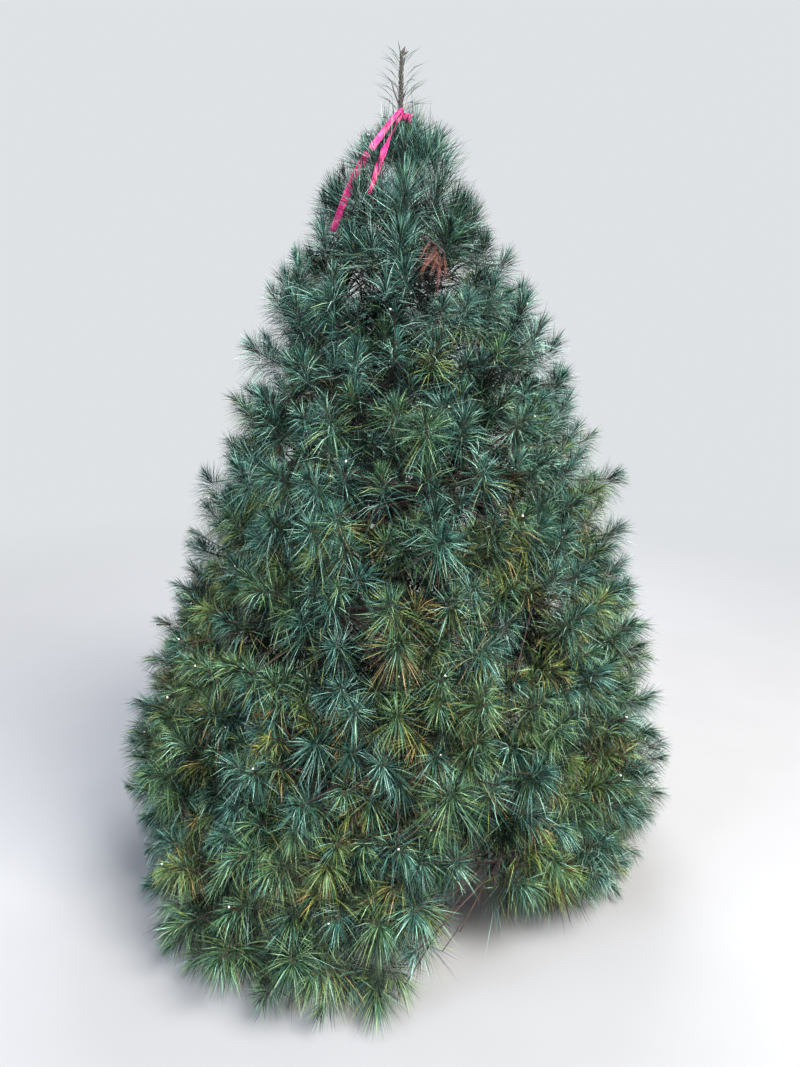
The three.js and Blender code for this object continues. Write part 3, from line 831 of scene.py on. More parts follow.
def trunk_radius(z):
    """The trunk's taper, (1 - climb)^0.95, with a swelling at each whorl and a flare at its foot."""
    climb = np.minimum(1, np.asarray(z, float) / TRUNK_TOP)
    taper = mix(TRUNK_TIP_RADIUS, TRUNK_FOOT_RADIUS, (1 - climb) ** TRUNK_TAPER)
    off = (np.asarray(z, float)[..., None] - WHORLS) / WHORL_SWELLING_HEIGHT
    swelling = WHORL_SWELLING * np.exp(-off * off).sum(-1)
    return taper * (1 + swelling) + FLARE_RADIUS * np.exp(-np.asarray(z) / FLARE_HEIGHT)


def inside_cell(cell, point):
    """Whether the source lets a tuft's middle stand at a point."""
    x, y, z = point
    radius, azimuth = math.hypot(x, y), math.atan2(y, x)
    from_start = y * math.cos(cell["start"]) - x * math.sin(cell["start"])
    from_end = x * math.sin(cell["end"]) - y * math.cos(cell["end"])
    return (
        from_start > CELL_MARGIN
        and from_end > CELL_MARGIN
        and z > tier_floor(cell["index"], radius, azimuth) + CELL_MARGIN
        and z < tier_top(cell["tier"], radius) - CELL_MARGIN
        and np.linalg.norm(point - trunk_centre(z)) > trunk_radius(z) + TRUNK_ROOM
        and radius < crown_radius(z, azimuth) + OVERREACH
    )


def crown_cells():
    """Every cell of the crown, with what its bough and foliage need to know."""
    cells = []
    for index, tier in enumerate(TIERS):
        below = tier_top(TIERS[index - 1], 0) if index else GROUND_GAP
        floor = TIERS[index - 1]["top"] if index else 0
        radius = mean_radius((floor + tier["top"]) / 2)
        width = TURN / tier["sectors"]
        rise = tier["top"] - floor
        for sector in range(tier["sectors"]):
            cells.append(
                dict(
                    name=f"{tier['name']}_{sector + 1}",
                    tier=tier,
                    index=index,
                    radius=radius,
                    whorl=(below + tier_top(tier, 0)) / 2,
                    height=math.hypot(rise, mean_radius(floor) - mean_radius(tier["top"])),
                    shell=min(1, radius / FULL_SHELL_RADIUS),
                    start=FIRST_SEAM + (sector + tier["turn"]) * width,
                    end=FIRST_SEAM + (sector + 1 + tier["turn"]) * width,
                    seed=1000 * (index + 1) + sector,
                )
            )
    return cells


CELLS = crown_cells()
WHORLS = np.array(sorted({cell["whorl"] for cell in CELLS}))


def axis_elevation(z):
    """How steeply a shoot points up, in radians: it droops at the crown's foot and stands at its top."""
    climb = np.maximum(0, z / CROWN_TIP) ** LIFT_EXPONENT
    return np.radians(DROOP + LIFT * climb)


def shoot_grid(cell, random):
    """The source's grid of teeth and tufts: whether each is a tooth, its place and its depth."""
    arc = cell["radius"] * (cell["end"] - cell["start"])
    opening = cell["tier"]["open"]
    columns = round((arc - 2 * TUFT_ROOM - 2 * opening) / SHOOT_SPACING)
    rows = round((cell["height"] - 2 * TUFT_ROOM) / SHOOT_SPACING)
    spots = []
    for row in range(rows + 1):
        for column in range(columns + 1):
            tooth = (row + column) % 2 == 1
            sideways, upwards = 0 < column < columns, 0 < row < rows
            side_room = opening + (TOOTH_ROOM if tooth and not sideways else TUFT_ROOM)
            level_room = TOOTH_ROOM if tooth and not upwards else TUFT_ROOM
            drift = SHOOT_WANDER * mix(-1, 1, random()) if sideways else 0
            across = (1 - 2 * side_room / arc) * (2 * (column + drift) / columns - 1)
            drift = SHOOT_WANDER * mix(-1, 1, random()) if upwards else 0
            level = (1 - 2 * level_room / cell["height"]) * (2 * (row + drift) / rows - 1)
            spots.append((tooth, across, level, mix(0.8, 1.2, random())))
    return arc, spots


def source_aims(cell, spots, random):
    """The source's own turn and tilt of each tuft, or None where a tooth stands or no tuft has room."""
    draws_for_arms = 9
    aims = []
    for tooth, across, level, sunk in spots:
        middle = cell_point(cell, across, level, TUFT_DEPTH * sunk)
        if tooth or not inside_cell(cell, middle):
            aims.append(None)
            continue
        aims.append((mix(-0.25, 0.25, random()), mix(-0.2, 0.2, random())))
        # The source goes on to draw the tuft's spin, and the swing and length of its arms
        for _ in range(draws_for_arms):
            random()
    return aims


def cell_growth(cell):
    """A cell's bough and stem as curves, and its grid of shoots with the source's aim for each tuft."""
    random = seeded_random(cell["seed"])
    inner_end = cell_point(cell, 0, 0, CORE_DEPTH + 0.5 * CORE_THICKNESS)
    if cell["tier"]["name"] == "summit":
        bough = None
        root = trunk_centre(cell["whorl"])
        stem = bezier(root, (root + inner_end) / 2, inner_end, 12)
    else:
        depth = CORE_DEPTH + CORE_THICKNESS + BOUGH_GAP
        tip = cell_point(cell, mix(-0.12, 0.12, random()), -0.05, depth)
        root = trunk_centre(cell["whorl"] + mix(-12, 12, random()))
        bend = mix(root, tip, 0.55)
        bend[2] = mix(root[2], tip[2], 0.3)
        bough = bezier(root, bend, tip, 16)
        onward = unit(tip - bend) * np.linalg.norm(inner_end - tip)
        stem = bezier(tip, tip + onward * 0.5, inner_end, 12)
    arc, spots = shoot_grid(cell, random)
    aims = source_aims(cell, spots, random)
    return dict(cell=cell, arc=arc, bough=bough, stem=stem, spots=spots, aims=aims)


# Finer growth


def deal(rng, shares):
    """One number for each row of shares, drawn by them."""
    heap = np.cumsum(shares, axis=1)
    return (rng.random((len(heap), 1)) * heap[:, -1:] > heap).sum(1)


def deal_sprays(rng, height, shares):
    """The kind of each spray, drawn by shares that change from the crown's foot to its top."""
    foot, top = np.array(shares)
    return deal(rng, mix(foot, top, progress(height, *SHARE_HEIGHTS)[:, None]))


def tier_span(cell):
    """The heights near the trunk between which a cell's innermost sprays stand."""
    floor = TIERS[cell["index"] - 1]["top"] if cell["index"] else INNERMOST_FLOOR
    return max(INNERMOST_FLOOR, floor - TIER_INSET), min(cell["tier"]["top"] - TIER_INSET, INNERMOST_TOP)


def fringe(point):
    """How much further than the outline the needles reach, by height on the -X and on the +X side, and
    where the skirt trails at the front left."""
    height, azimuth = point[:, 2], azimuth_of(point)
    left, right = (np.interp(height, FRINGE_HEIGHTS, reach) for reach in (FRINGE_LEFT, FRINGE_RIGHT))
    train = TRAIN * facing(azimuth, TRAIN_AZIMUTH, TRAIN_SHARPNESS) * progress(height, *TRAIN_HEIGHTS)
    return mix(left, right, (1 + np.cos(azimuth)) / 2) + train


def swell(point):
    """Moves points out from the trunk's line by most of the fringe there."""
    smallest_radius = 120
    growth = 1 + FRINGE_SWELL * fringe(point) / np.maximum(radius_of(point), smallest_radius)
    return point * np.stack([growth, growth, np.ones(len(point))], 1)


def place_sprays(growth, rng):
    """Where a cell's sprays stand, as one array for each rank: outer ones at the source's tufts and
    teeth, side ones behind them, then deep ones, and old growth near the trunk that shuts out the light
    from the far side. Also gives the aim of the outer ones, and which of them each side spray is by."""
    cell, arc = growth["cell"], growth["arc"]
    tooth = np.array([spot[0] for spot in growth["spots"]])
    across, level, sunk = np.array([spot[1:] for spot in growth["spots"]]).T
    count = len(across)
    place = np.where(tooth, TOOTH_SHOOT_PLACE, 1.0)
    depth = np.where(tooth, TOOTH_SHOOT_DEPTH, TUFT_DEPTH + TUFT_DRAW_IN) * sunk
    # The shears leave some shoots proud and others in a pocket
    depth = depth + rng.normal(0, SHEAR_SPREAD, count) + POCKET_DEPTH * (rng.random(count) < POCKET_SHARE)
    wide = across * place + 2 * rng.normal(0, PLACE_SPREAD, count) / arc
    high = level * place + 2 * rng.normal(0, PLACE_SPREAD, count) / cell["height"]
    outer = swell(cell_point(cell, wide, high, depth))
    aim = np.array([a or (rng.uniform(-0.3, 0.3), rng.uniform(-0.25, 0.25)) for a in growth["aims"]])

    again = 1.0 if cell["tier"]["open"] else SECOND_SIDE_SHARE
    host = np.concatenate([np.arange(count), np.nonzero(rng.random(count) < again)[0]])
    swing = rng.uniform(0, TURN, len(host))
    away = rng.uniform(*SIDE_AWAY, len(host))
    wide = np.clip(across[host] + 2 * away * np.cos(swing) / arc, -0.98, 0.98)
    high = np.clip(level[host] + 2 * away * np.sin(swing) / cell["height"], -0.96, 0.96)
    side = swell(cell_point(cell, wide, high, rng.uniform(*SIDE_DEPTH, len(host))))

    wide, high = (
        np.clip(a + rng.uniform(-DEEP_WANDER, DEEP_WANDER, count), -0.95, 0.95) for a in (across, level)
    )
    deep = cell_point(cell, wide, high, rng.uniform(*DEEP_DEPTH, count))
    for sprays in (outer, side, deep):
        sprays[:, 2] = np.maximum(sprays[:, 2], LOWEST_SPRAY)
    inmost = count // 2
    inner = polar(
        mean_radius(cell["whorl"]) * rng.uniform(*INNERMOST_PLACE, inmost),
        rng.uniform(cell["start"], cell["end"], inmost),
        rng.uniform(*tier_span(cell), inmost),
    )
    return (outer, side, deep, inner), aim, host


def aim_sprays(middle, rank, aim, rng):
    """The way each spray points: out from the trunk and up by its height, scattered a little, with the
    outer ones near the source's aim and the innermost ones any way."""
    scatter = rng.normal(0, 1, (len(middle), 2)) * np.array([0.4, 0.3])
    scatter[rank == OUTER] = aim + 0.4 * scatter[rank == OUTER]
    scatter[rank == INNERMOST] *= 3
    azimuth = azimuth_of(middle) + scatter[:, 0]
    elevation = axis_elevation(middle[:, 2]) + scatter[:, 1]
    elevation += TURN_UP * (rank < DEEP) * progress(middle[:, 2], *TURN_UP_HEIGHTS)
    return polar(np.cos(elevation), azimuth, np.sin(elevation))


def deal_kinds(middle, rank, rng):
    """The kind of each spray, and the kind that its older needles near the foot have."""
    height, shown = middle[:, 2], rank < DEEP
    dealt = [deal_sprays(rng, height, shares) for shares in (OUTER_SHARES, SIDE_SHARES, DEEP_SHARES)]
    # The innermost sprays are all of the hidden kind, painted shade
    kind = np.choose(rank, [*dealt, np.full(len(middle), KINDS.index("hidden"))])
    older = deal_sprays(rng, height, SIDE_SHARES)
    # Many summit sprays take the darker summit kind, as painted shade
    dusk = (height > DUSK_HEIGHT) & shown & (rng.random(len(height)) < DUSK_SHARE)
    kind[dusk] = older[dusk] = KINDS.index("summit_painted_shade")
    for spot, radius, name in MARKS:
        near = np.linalg.norm(middle - spot, axis=1) < radius
        kind[near & shown] = KINDS.index(name)
    return kind, np.where(shown, older, kind)


def grow_twigs(stem, ranks, host, axis, rng):
    """The twigs that end in a cell's sprays, as curves: outer ones fork off the stem, side ones off the
    outer ones, and deep ones off the stem or, near the middle, off the trunk."""
    outer, side, deep, inner = ranks
    count = len(outer)
    outer_axis, side_axis, deep_axis = np.split(axis, [count, count + len(host)])
    on_stem = stem[rng.integers(3, len(stem), count)]
    bend = mix(on_stem, outer, 0.6) - TWIG_SAG * UP * rng.uniform(0, 1, (count, 1))
    twigs = bezier(on_stem, bend, outer + TWIG_END * outer_axis, 7)
    fork = rng.integers(*FORK, len(host))
    twigs[..., 2] = np.maximum(twigs[..., 2], GROUND_CLEARANCE)
    on_twig = twigs[host, fork]
    onward = unit(twigs[host, fork + 1] - on_twig) * np.linalg.norm(side - on_twig, axis=1, keepdims=True)
    sides = bezier(on_twig, on_twig + onward * 0.4, side + SIDE_END * side_axis, 5)
    sides[..., 2] = np.maximum(sides[..., 2], GROUND_CLEARANCE)
    hidden = np.concatenate([deep, inner])
    foot = stem[rng.integers(0, len(stem), len(hidden))]
    # The innermost ones leave the trunk a little below their spray, and clear of the flare
    foot[len(deep) :] = trunk_centre(np.maximum(60, inner[:, 2] - 0.3 * radius_of(inner)))
    deeps = bezier(foot, mix(foot, hidden, 0.5) - DEEP_SAG * UP, hidden + DEEP_END * deep_axis, 5)
    return dict(twigs=twigs, sides=sides, deeps=deeps)


def grow_shoots(growth):
    """The shoots of one cell, from the outermost in, and the twigs that they end."""
    rng = np.random.default_rng(growth["cell"]["seed"])
    ranks, aim, host = place_sprays(growth, rng)
    middle = np.concatenate(ranks)
    rank = np.repeat(range(len(ranks)), [len(sprays) for sprays in ranks])
    axis = aim_sprays(middle, rank, aim, rng)
    kind, old_kind = deal_kinds(middle, rank, rng)
    height = middle[:, 2]
    shoots = dict(
        middle=middle,
        axis=axis,
        rank=rank,
        kind=kind,
        old_kind=old_kind,
        slack=rng.uniform(*SPRAY_SLACK, len(middle)) + fringe(middle),
        spin=rng.uniform(0, TURN, len(middle)),
        vigour=rng.uniform(*SPRAY_VIGOUR, len(middle)),
        summit=progress(height, *SUMMIT_HEIGHTS),
        skirt=progress(height, *SKIRT_HEIGHTS),
        bare=progress(height, *BARE_HEIGHTS),
    )
    gap = height < OPEN_HEIGHT * facing(azimuth_of(middle), OPEN_AZIMUTH, OPEN_SHARPNESS)
    shoots["lost"] = gap & (rng.random(len(middle)) < OPEN_SHARE)
    return shoots, grow_twigs(growth["stem"], ranks, host, axis, rng)


def grow_crown():
    """Every cell's bough, stem, shoots and twigs, which the operators share."""
    grown = [cell_growth(cell) for cell in CELLS]
    for growth in grown:
        growth["shoots"], growth["wood"] = grow_shoots(growth)
    return grown


GROWTH = grow_crown()


def join_shoots(grown):
    """The shoots of several cells as one."""
    shoots = [growth["shoots"] for growth in grown]
    return {key: np.concatenate([s[key] for s in shoots]) for key in shoots[0]}


def trim_needles(base, reach, length, slack):
    """Shortens needles that would pass the crown's outline by more than their slack, or the ground.
    Reach is the tip's way from the base for a needle of length 1."""
    shortest = SHORTEST_NEEDLE * length
    for _ in range(3):
        tip = base + length[:, None] * reach
        limit = crown_radius(tip[:, 2], azimuth_of(tip)) + slack
        limit = limit - KNOT_ROOM * progress(tip[:, 2], *KNOT_HEIGHTS)
        over = np.maximum(radius_of(tip) - limit, np.abs(tip[:, 1]) - FARTHEST)
        length = length - 0.9 * np.clip(over, 0, None)
        low = np.clip(GROUND_CLEARANCE - tip[:, 2], 0, None)
        length = length * (1 - low / np.maximum(base[:, 2] - tip[:, 2], low + 1))
        length = np.maximum(length, shortest)
    return length


def deal_tones(rng, kind, fascicle):
    """The tone of each needle, by its fascicle's kind. Most needles share their fascicle's tone."""
    shares = np.array(list(SPRAYS.values()))
    shared = deal(rng, shares[kind])[fascicle]
    apart = rng.random(len(fascicle)) < OWN_TONE_SHARE
    return np.where(apart, deal(rng, shares[kind[fascicle]]), shared)


def spray_blades(shoots, sizes, rng):
    """The needles of many shoots. A fascicle leaves its shoot at a golden turn from the last one, and
    leans from nearly square at the shoot's foot to nearly along it at its tip. A needle sags, and
    arches away from its shoot. Gives arguments for blades, and each needle's tone."""
    rank, summit, skirt = shoots["rank"], shoots["summit"], shoots["skirt"]
    thinned = (1 - SUMMIT_THINNER * summit) * (1 - BARE_THINNER * shoots["bare"])
    full = FASCICLES[rank] * shoots["vigour"] * thinned
    fascicles = np.round(full * sizes["density"]).astype(int) * ~shoots["lost"]
    shoot = np.repeat(np.arange(len(rank)), fascicles)
    order = np.arange(len(shoot)) - np.repeat(np.cumsum(fascicles) - fascicles, fascicles)
    share = (order + 0.5) / fascicles[shoot]
    axis = shoots["axis"][shoot]
    side, rise = across_axis(axis)
    turn = (order * GOLDEN_ANGLE + shoots["spin"][shoot])[:, None]
    foot_lean = mix(FOOT_LEAN, SUMMIT_FOOT_LEAN, summit)[shoot]
    lean = np.radians(mix(foot_lean, TIP_LEAN, share**LEAN_EXPONENT))[:, None]
    lean = lean + rng.normal(0, LEAN_SPREAD, (len(shoot), 1))
    direction = np.cos(lean) * axis + np.sin(lean) * (np.cos(turn) * side + np.sin(turn) * rise)
    leafy = (LEAFY[rank] * (1 + SKIRT_LEAFIER * skirt))[shoot]
    base = shoots["middle"][shoot] + axis * (leafy * (share - SPRAY_MIDDLE))[:, None]
    base[:, 2] = np.maximum(base[:, 2], GROUND_CLEARANCE)

    fascicle = np.repeat(np.arange(len(shoot)), BUNDLE)
    base, owner = base[fascicle], shoot[fascicle]
    direction = unit(direction[fascicle] + rng.normal(0, BLADE_STRAY, (len(fascicle), 3)))
    level = np.sqrt(1 - direction[:, 2] ** 2)
    climb = progress(base[:, 2], 0, CROWN_TIP)
    sag = level * mix(FOOT_SAG, TIP_SAG, climb) * rng.uniform(*SAG_CHANGE, len(shoot))[fascicle]
    arch = (rng.uniform(*ARCH, len(shoot)) - SUMMIT_ARCH * summit[shoot])[fascicle][:, None]
    stray = rng.normal(0, STRAY, (len(shoot), 3))[fascicle]
    bend = sag[:, None] * UP + arch * axis[fascicle] + stray
    length = (
        REACH[rank][owner]
        * sizes["length"]
        * mix(1, shoots["vigour"][owner], VIGOUR_LONGER)
        * (1 + SUMMIT_LONGER * summit[owner] + SKIRT_LONGER * skirt[owner])
        * mix(FOOT_LENGTH, TIP_LENGTH, share[fascicle])
        * rng.uniform(*LENGTH_CHANGE, len(fascicle))
    )
    length = trim_needles(base, direction - bend, length, shoots["slack"][owner])
    keep = (base + length[:, None] * (direction - bend))[:, 2] > LOWEST_TIP
    old = share < rng.uniform(*OLD_SHARE, len(rank))[shoot]
    tone = deal_tones(rng, np.where(old, shoots["old_kind"][shoot], shoots["kind"][shoot]), fascicle)
    width = WIDTH[rank][owner] * rng.uniform(*WIDTH_CHANGE, len(fascicle))
    roll = rng.uniform(0, TURN, len(fascicle))
    return tuple(a[keep] for a in (base, direction, length, width, bend, roll)), tone[keep]


def needle_piece(name, arguments, material, replaced=()):
    """One piece of needles, with how far along its needle each point lies."""
    points, faces = blades(*arguments)
    along = np.tile([0, NEEDLE_MIDDLE, NEEDLE_MIDDLE, 1.0], len(points) // 4)
    make_piece(name, [(points, faces)], material, "needles", replaced, along)


# Settings that a user would change


class PineBarkSettings(PropertyGroup):
    pale: FloatVectorProperty(
        name="Crest colour",
        description="Smooth grey-green bark between its cracks",
        subtype="COLOR",
        default=linear("#4c4943"),
    )
    dark: FloatVectorProperty(
        name="Hollow colour",
        description="Brown bark in hollows and round old needle scars",
        subtype="COLOR",
        default=linear("#2a2724"),
    )
    twig: FloatVectorProperty(
        name="Twig colour",
        description="This year's reddish-brown twigs",
        subtype="COLOR",
        default=linear("#3b2720"),
    )
    relief: FloatProperty(
        name="Relief",
        description="Depth of the bark's bumps on the trunk",
        default=0.0012,
        min=0.0,
        max=0.004,
        unit="LENGTH",
    )


class PineNeedleSettings(PropertyGroup):
    density: FloatProperty(
        name="Density",
        description="Share of a full spray's needles that is made",
        default=1.0,
        min=0.2,
        max=1.2,
        subtype="FACTOR",
    )
    length: FloatProperty(
        name="Length",
        description="Length of the longest needles in an outer spray",
        default=LONGEST_NEEDLE,
        min=0.05,
        max=0.14,
        unit="LENGTH",
    )
    seed: IntProperty(
        name="Seed",
        description="Which repeatable scatter of needles is made",
        default=11,
        min=0,
    )
    sheen: FloatProperty(
        name="Roughness",
        description="How far the wax on a needle spreads its highlight",
        default=0.44,
        min=0.1,
        max=1.0,
        subtype="FACTOR",
    )


class PineRibbonSettings(PropertyGroup):
    width: FloatProperty(
        name="Width",
        description="Width of the flagging tape",
        default=0.028,
        min=0.01,
        max=0.05,
        unit="LENGTH",
    )
    colour: FloatVectorProperty(
        name="Colour",
        description="The film's own pink",
        subtype="COLOR",
        default=linear("#c4216f"),
    )


class PineStageSettings(PropertyGroup):
    floor: FloatVectorProperty(
        name="Floor colour",
        description="Plain pale floor",
        subtype="COLOR",
        default=linear("#868686"),
    )
    sky: FloatProperty(
        name="Soft light",
        description="Strength of the even light from all round",
        default=0.19,
        min=0.0,
        max=3.0,
    )
    key: FloatProperty(
        name="Key light",
        description="Power of the large light over the front of the tree",
        default=2200.0,
        min=0.0,
        unit="POWER",
    )
    backdrop: FloatProperty(
        name="Backdrop",
        description="How brightly the backdrop shows behind the tree",
        default=0.86,
        min=0.0,
        max=2.0,
    )


class PineTreeSettings(PropertyGroup):
    bark: PointerProperty(type=PineBarkSettings, name="Bark", description="Trunk, boughs and twigs")
    needles: PointerProperty(type=PineNeedleSettings, name="Needles", description="Sprays of needles")
    ribbon: PointerProperty(type=PineRibbonSettings, name="Ribbon", description="Flagging tape")
    stage: PointerProperty(type=PineStageSettings, name="Stage", description="Floor and lights")


# Operators


class PINE_OT_trunk(Operator):
    """Makes the trunk with its bark's relief, from the flat cut to the tip of the leader"""

    bl_idname = "pine.trunk"
    bl_label = "Trunk"

    def execute(self, context):
        bark = context.scene.pine_tree.bark
        sides, levels, gathering = 48, 260, 1.15
        # Levels lie closer together near the ground, where the flare is
        z = TRUNK_TOP * np.linspace(0, 1, levels) ** gathering
        angle = np.arange(sides) / sides * TURN
        around, up = np.meshgrid(angle / TURN, z / TRUNK_TOP)
        depth = bark.relief / MILLIMETRE
        ridges = lattice_noise(around, up, 16, 90, 1) + 0.6 * lattice_noise(around, up, 32, 260, 2)
        needle_scars = 0.5 * lattice_noise(around, up, 5, 340, 3)
        thin = np.clip(trunk_radius(z) / TRUNK_FOOT_RADIUS, 0.25, 1)[:, None]
        lobes = FLARE_LOBE_DEPTH * np.exp(-2 * z / FLARE_HEIGHT)[:, None] * np.cos(FLARE_LOBES * angle)
        radius = trunk_radius(z)[:, None] + lobes + depth * thin * (ridges + needle_scars)
        path = trunk_centre(z)
        rings = path[:, None] + radius[..., None] * polar(1.0, angle, 0.0)[None]
        shape = closed_tubes(rings[None], path[:1], path[-1:])
        material = bark_material("young_pine_bark", bark.pale, bark.dark, 110.0, 0.85)
        make_piece("bark_trunk", [shape], material, "bark", ["trunk"])
        return {"FINISHED"}


class PINE_OT_boughs(Operator):
    """Makes the main boughs, which leave the trunk almost level and curve up to their masses"""

    bl_idname = "pine.boughs"
    bl_label = "Boughs"

    def execute(self, context):
        bark = context.scene.pine_tree.bark
        grown = [g for g in GROWTH if g["bough"] is not None]
        paths = np.array([g["bough"] for g in grown])
        shell = np.array([g["cell"]["shell"] for g in grown])
        t = np.linspace(0, 1, paths.shape[1])
        root = BOUGH_ROOT_RADIUS * mix(0.6, 1, shell)[:, None]
        # The collar takes up the first fifth
        collar = 1 + (BOUGH_COLLAR - 1) * np.maximum(0, 1 - 5 * t)
        radii = mix(root, BOUGH_TIP_RADIUS, t) * collar
        rng = np.random.default_rng(21)
        sides = 10
        rough = radii[..., None] * (1 + 0.05 * rng.uniform(-1, 1, (*radii.shape, sides)))
        material = bark_material("bough_bark", bark.pale, bark.dark, 170.0, 0.85)
        names = [f"bough_{g['cell']['name']}" for g in grown]
        make_piece("bark_boughs", [tubes(paths, rough, sides)], material, "bark", names)
        return {"FINISHED"}


class PINE_OT_twigs(Operator):
    """Makes the twigs of each tier, which branch off the stem of a mass and carry its sprays"""

    bl_idname = "pine.twigs"
    bl_label = "Twigs"

    def execute(self, context):
        bark = context.scene.pine_tree.bark
        dark = tuple(0.6 * c for c in bark.twig)
        material = bark_material("young_twig_bark", bark.twig, dark, 260.0, 0.7)
        for tier in TIERS:
            grown = [g for g in GROWTH if g["cell"]["tier"] is tier]
            slim = 0.6 if tier["open"] else 1
            stems = np.array([g["stem"] for g in grown])
            shapes = [even_tubes(stems, BOUGH_TIP_RADIUS * slim, STEM_TIP_RADIUS * slim, 7)]
            for kind, thick, thin, sides in TWIG_KINDS:
                paths = np.concatenate([g["wood"][kind] for g in grown])
                shapes.append(even_tubes(paths, thick * slim, thin * mix(slim, 1, 0.5), sides))
            make_piece(f"twigs_{tier['name']}", shapes, material, "bark")
        return {"FINISHED"}


class PINE_OT_needles(Operator):
    """Makes the sprays of needles of each tier, one piece for each tone"""

    bl_idname = "pine.needles"
    bl_label = "Needles"

    def execute(self, context):
        needles = context.scene.pine_tree.needles
        sizes = dict(density=needles.density, length=needles.length / LONGEST_NEEDLE)
        materials = {
            tone: needle_material(
                f"pine_needle_{tone}", linear(code), needles.sheen, DULL.get(tone, GLOSS)
            )
            for tone, code in TONES.items()
        }
        for index, tier in enumerate(TIERS):
            rng = np.random.default_rng(1000 * needles.seed + index)
            grown = [g for g in GROWTH if g["cell"]["tier"] is tier]
            arguments, tone = spray_blades(join_shoots(grown), sizes, rng)
            commonest = np.bincount(tone, minlength=len(TONES)).argmax()
            for number, name in enumerate(TONES):
                chosen = tone == number
                if not chosen.any():
                    continue
                nodes = [f"foliage_{g['cell']['name']}" for g in grown] if number == commonest else []
                title = f"needles_{tier['name']}_{name}"
                needle_piece(title, (a[chosen] for a in arguments), materials[name], nodes)
        return {"FINISHED"}


class PINE_OT_buds(Operator):
    """Makes the resinous buds at the middle of the outer sprays, and the cut ends left by the shears"""

    bl_idname = "pine.buds"
    bl_label = "Buds and cut ends"

    def execute(self, context):
        shoots = join_shoots(GROWTH)
        outer = (shoots["rank"] == OUTER) & ~shoots["lost"]
        middle, axis = shoots["middle"][outer], shoots["axis"][outer]
        rng = np.random.default_rng(5)
        count = len(middle)
        foot = middle + BUD_PLACE * axis
        length, radius = rng.uniform(*BUD_LENGTH, count), rng.uniform(*BUD_RADIUS, count)
        shapes = [spindles(foot, axis, length, radius, 4)]
        # Up to two smaller buds stand beside the end one
        for _ in range(2):
            some = rng.random(count) < SIDE_BUD_SHARE
            lean = tilt(axis, SIDE_BUD_SLOPE, rng)[some]
            length = rng.uniform(*SIDE_BUD_LENGTH, some.sum())
            shapes.append(spindles(foot[some], lean, length, SIDE_BUD_SLIMNESS * length, 4))
        make_piece("buds", shapes, bud_material(), "bark")

        cut = rng.random(count) < STUB_SHARE
        lean, root = tilt(axis, STUB_SLOPE, rng)[cut], middle[cut]
        height = rng.uniform(*STUB_LENGTH, (len(root), 1))
        stubs = bezier(root, root + 0.5 * height * lean, root + height * lean, 5)
        radii = np.tile(STUB_RADII, (len(stubs), 1))
        twig_bark = bpy.data.materials["young_twig_bark"]
        make_piece("cut_stubs", [tubes(stubs, radii, 6)], twig_bark, "bark")
        length, radius = rng.uniform(*DROP_LENGTH, len(root)), rng.uniform(*DROP_RADIUS, len(root))
        drops = spindles(stubs[:, -1] - DROP_SUNK * lean, lean, length, radius, 5)
        make_piece("resin_drops", [drops], resin_material(), "bark")
        return {"FINISHED"}


class PINE_OT_leader(Operator):
    """Makes the leader's few needles, its crooked cluster of buds and the spur beside it"""

    bl_idname = "pine.leader"
    bl_label = "Leader"

    def execute(self, context):
        rng = np.random.default_rng(7)
        count = LEADER_FASCICLES
        z = np.linspace(LEADER_START - 30, LEADER_END - 2, count)
        azimuth = np.arange(count) * GOLDEN_ANGLE
        lift = mix(*LEADER_LIFT, np.linspace(0, 1, count)) + rng.uniform(*LEADER_LIFT_CHANGE, count)
        direction = polar(np.cos(lift), azimuth, np.sin(lift))
        base = trunk_centre(z) + polar(trunk_radius(z) + 0.5, azimuth, 0.0)
        length = LEADER_REACH * rng.uniform(*LEADER_REACH_CHANGE, count)
        fascicle = np.repeat(np.arange(count), LEADER_BUNDLE)
        base = base[fascicle]
        direction = unit(direction[fascicle] + rng.normal(0, 0.03, (len(fascicle), 3)))
        sag = LEADER_SAG * rng.uniform(*LEADER_SAG_CHANGE, len(fascicle))
        # No needle stands higher than the tree
        room = (TREE_HEIGHT - base[:, 2]) / np.maximum(0.2, direction[:, 2] - sag)
        length, width = np.minimum(length[fascicle], room), np.full(len(fascicle), LEADER_WIDTH)
        roll = rng.uniform(0, TURN, len(fascicle))
        arguments = (base, direction, length, width, sag[:, None] * UP, roll)
        material = needle_material("pine_needle_leader", linear("#46564e"), 0.8, 0.05)
        needle_piece("needles_leader", arguments, material, ["foliage_leader"])

        lean = unit(np.array(LEADER_BUD_AXES))
        foot = np.repeat(trunk_centre(TRUNK_TOP - 6)[None], len(lean), 0)
        buds = spindles(foot, lean, np.array(LEADER_BUD_LENGTHS), np.array(LEADER_BUD_RADII), 8)
        # Scales that stand off the stem where each fascicle of the leader was
        z = np.linspace(LEADER_START - 40, TRUNK_TOP - 8, SCALES)
        azimuth = np.arange(SCALES) * GOLDEN_ANGLE + 0.4
        out = polar(np.cos(SCALE_LIFT), azimuth, np.sin(SCALE_LIFT))
        foot = trunk_centre(z) + polar(trunk_radius(z) - 1.2, azimuth, 0.0)
        length, radius = rng.uniform(*SCALE_LENGTH, SCALES), rng.uniform(*SCALE_RADIUS, SCALES)
        scales = spindles(foot, out, length, radius, 5)
        foot = trunk_centre(SPUR_HEIGHT)
        tip = foot + np.array([-0.4 * SPUR_LENGTH, -4, SPUR_LENGTH])
        spur = even_tubes(bezier(foot, mix(foot, tip, 0.5) + [-4, 0, -2], tip, 8)[None], 2.6, 1.6, 8)
        bark = bpy.data.materials["young_pine_bark"]
        make_piece("leader_buds", [buds, scales, spur], bark, "bark")
        return {"FINISHED"}


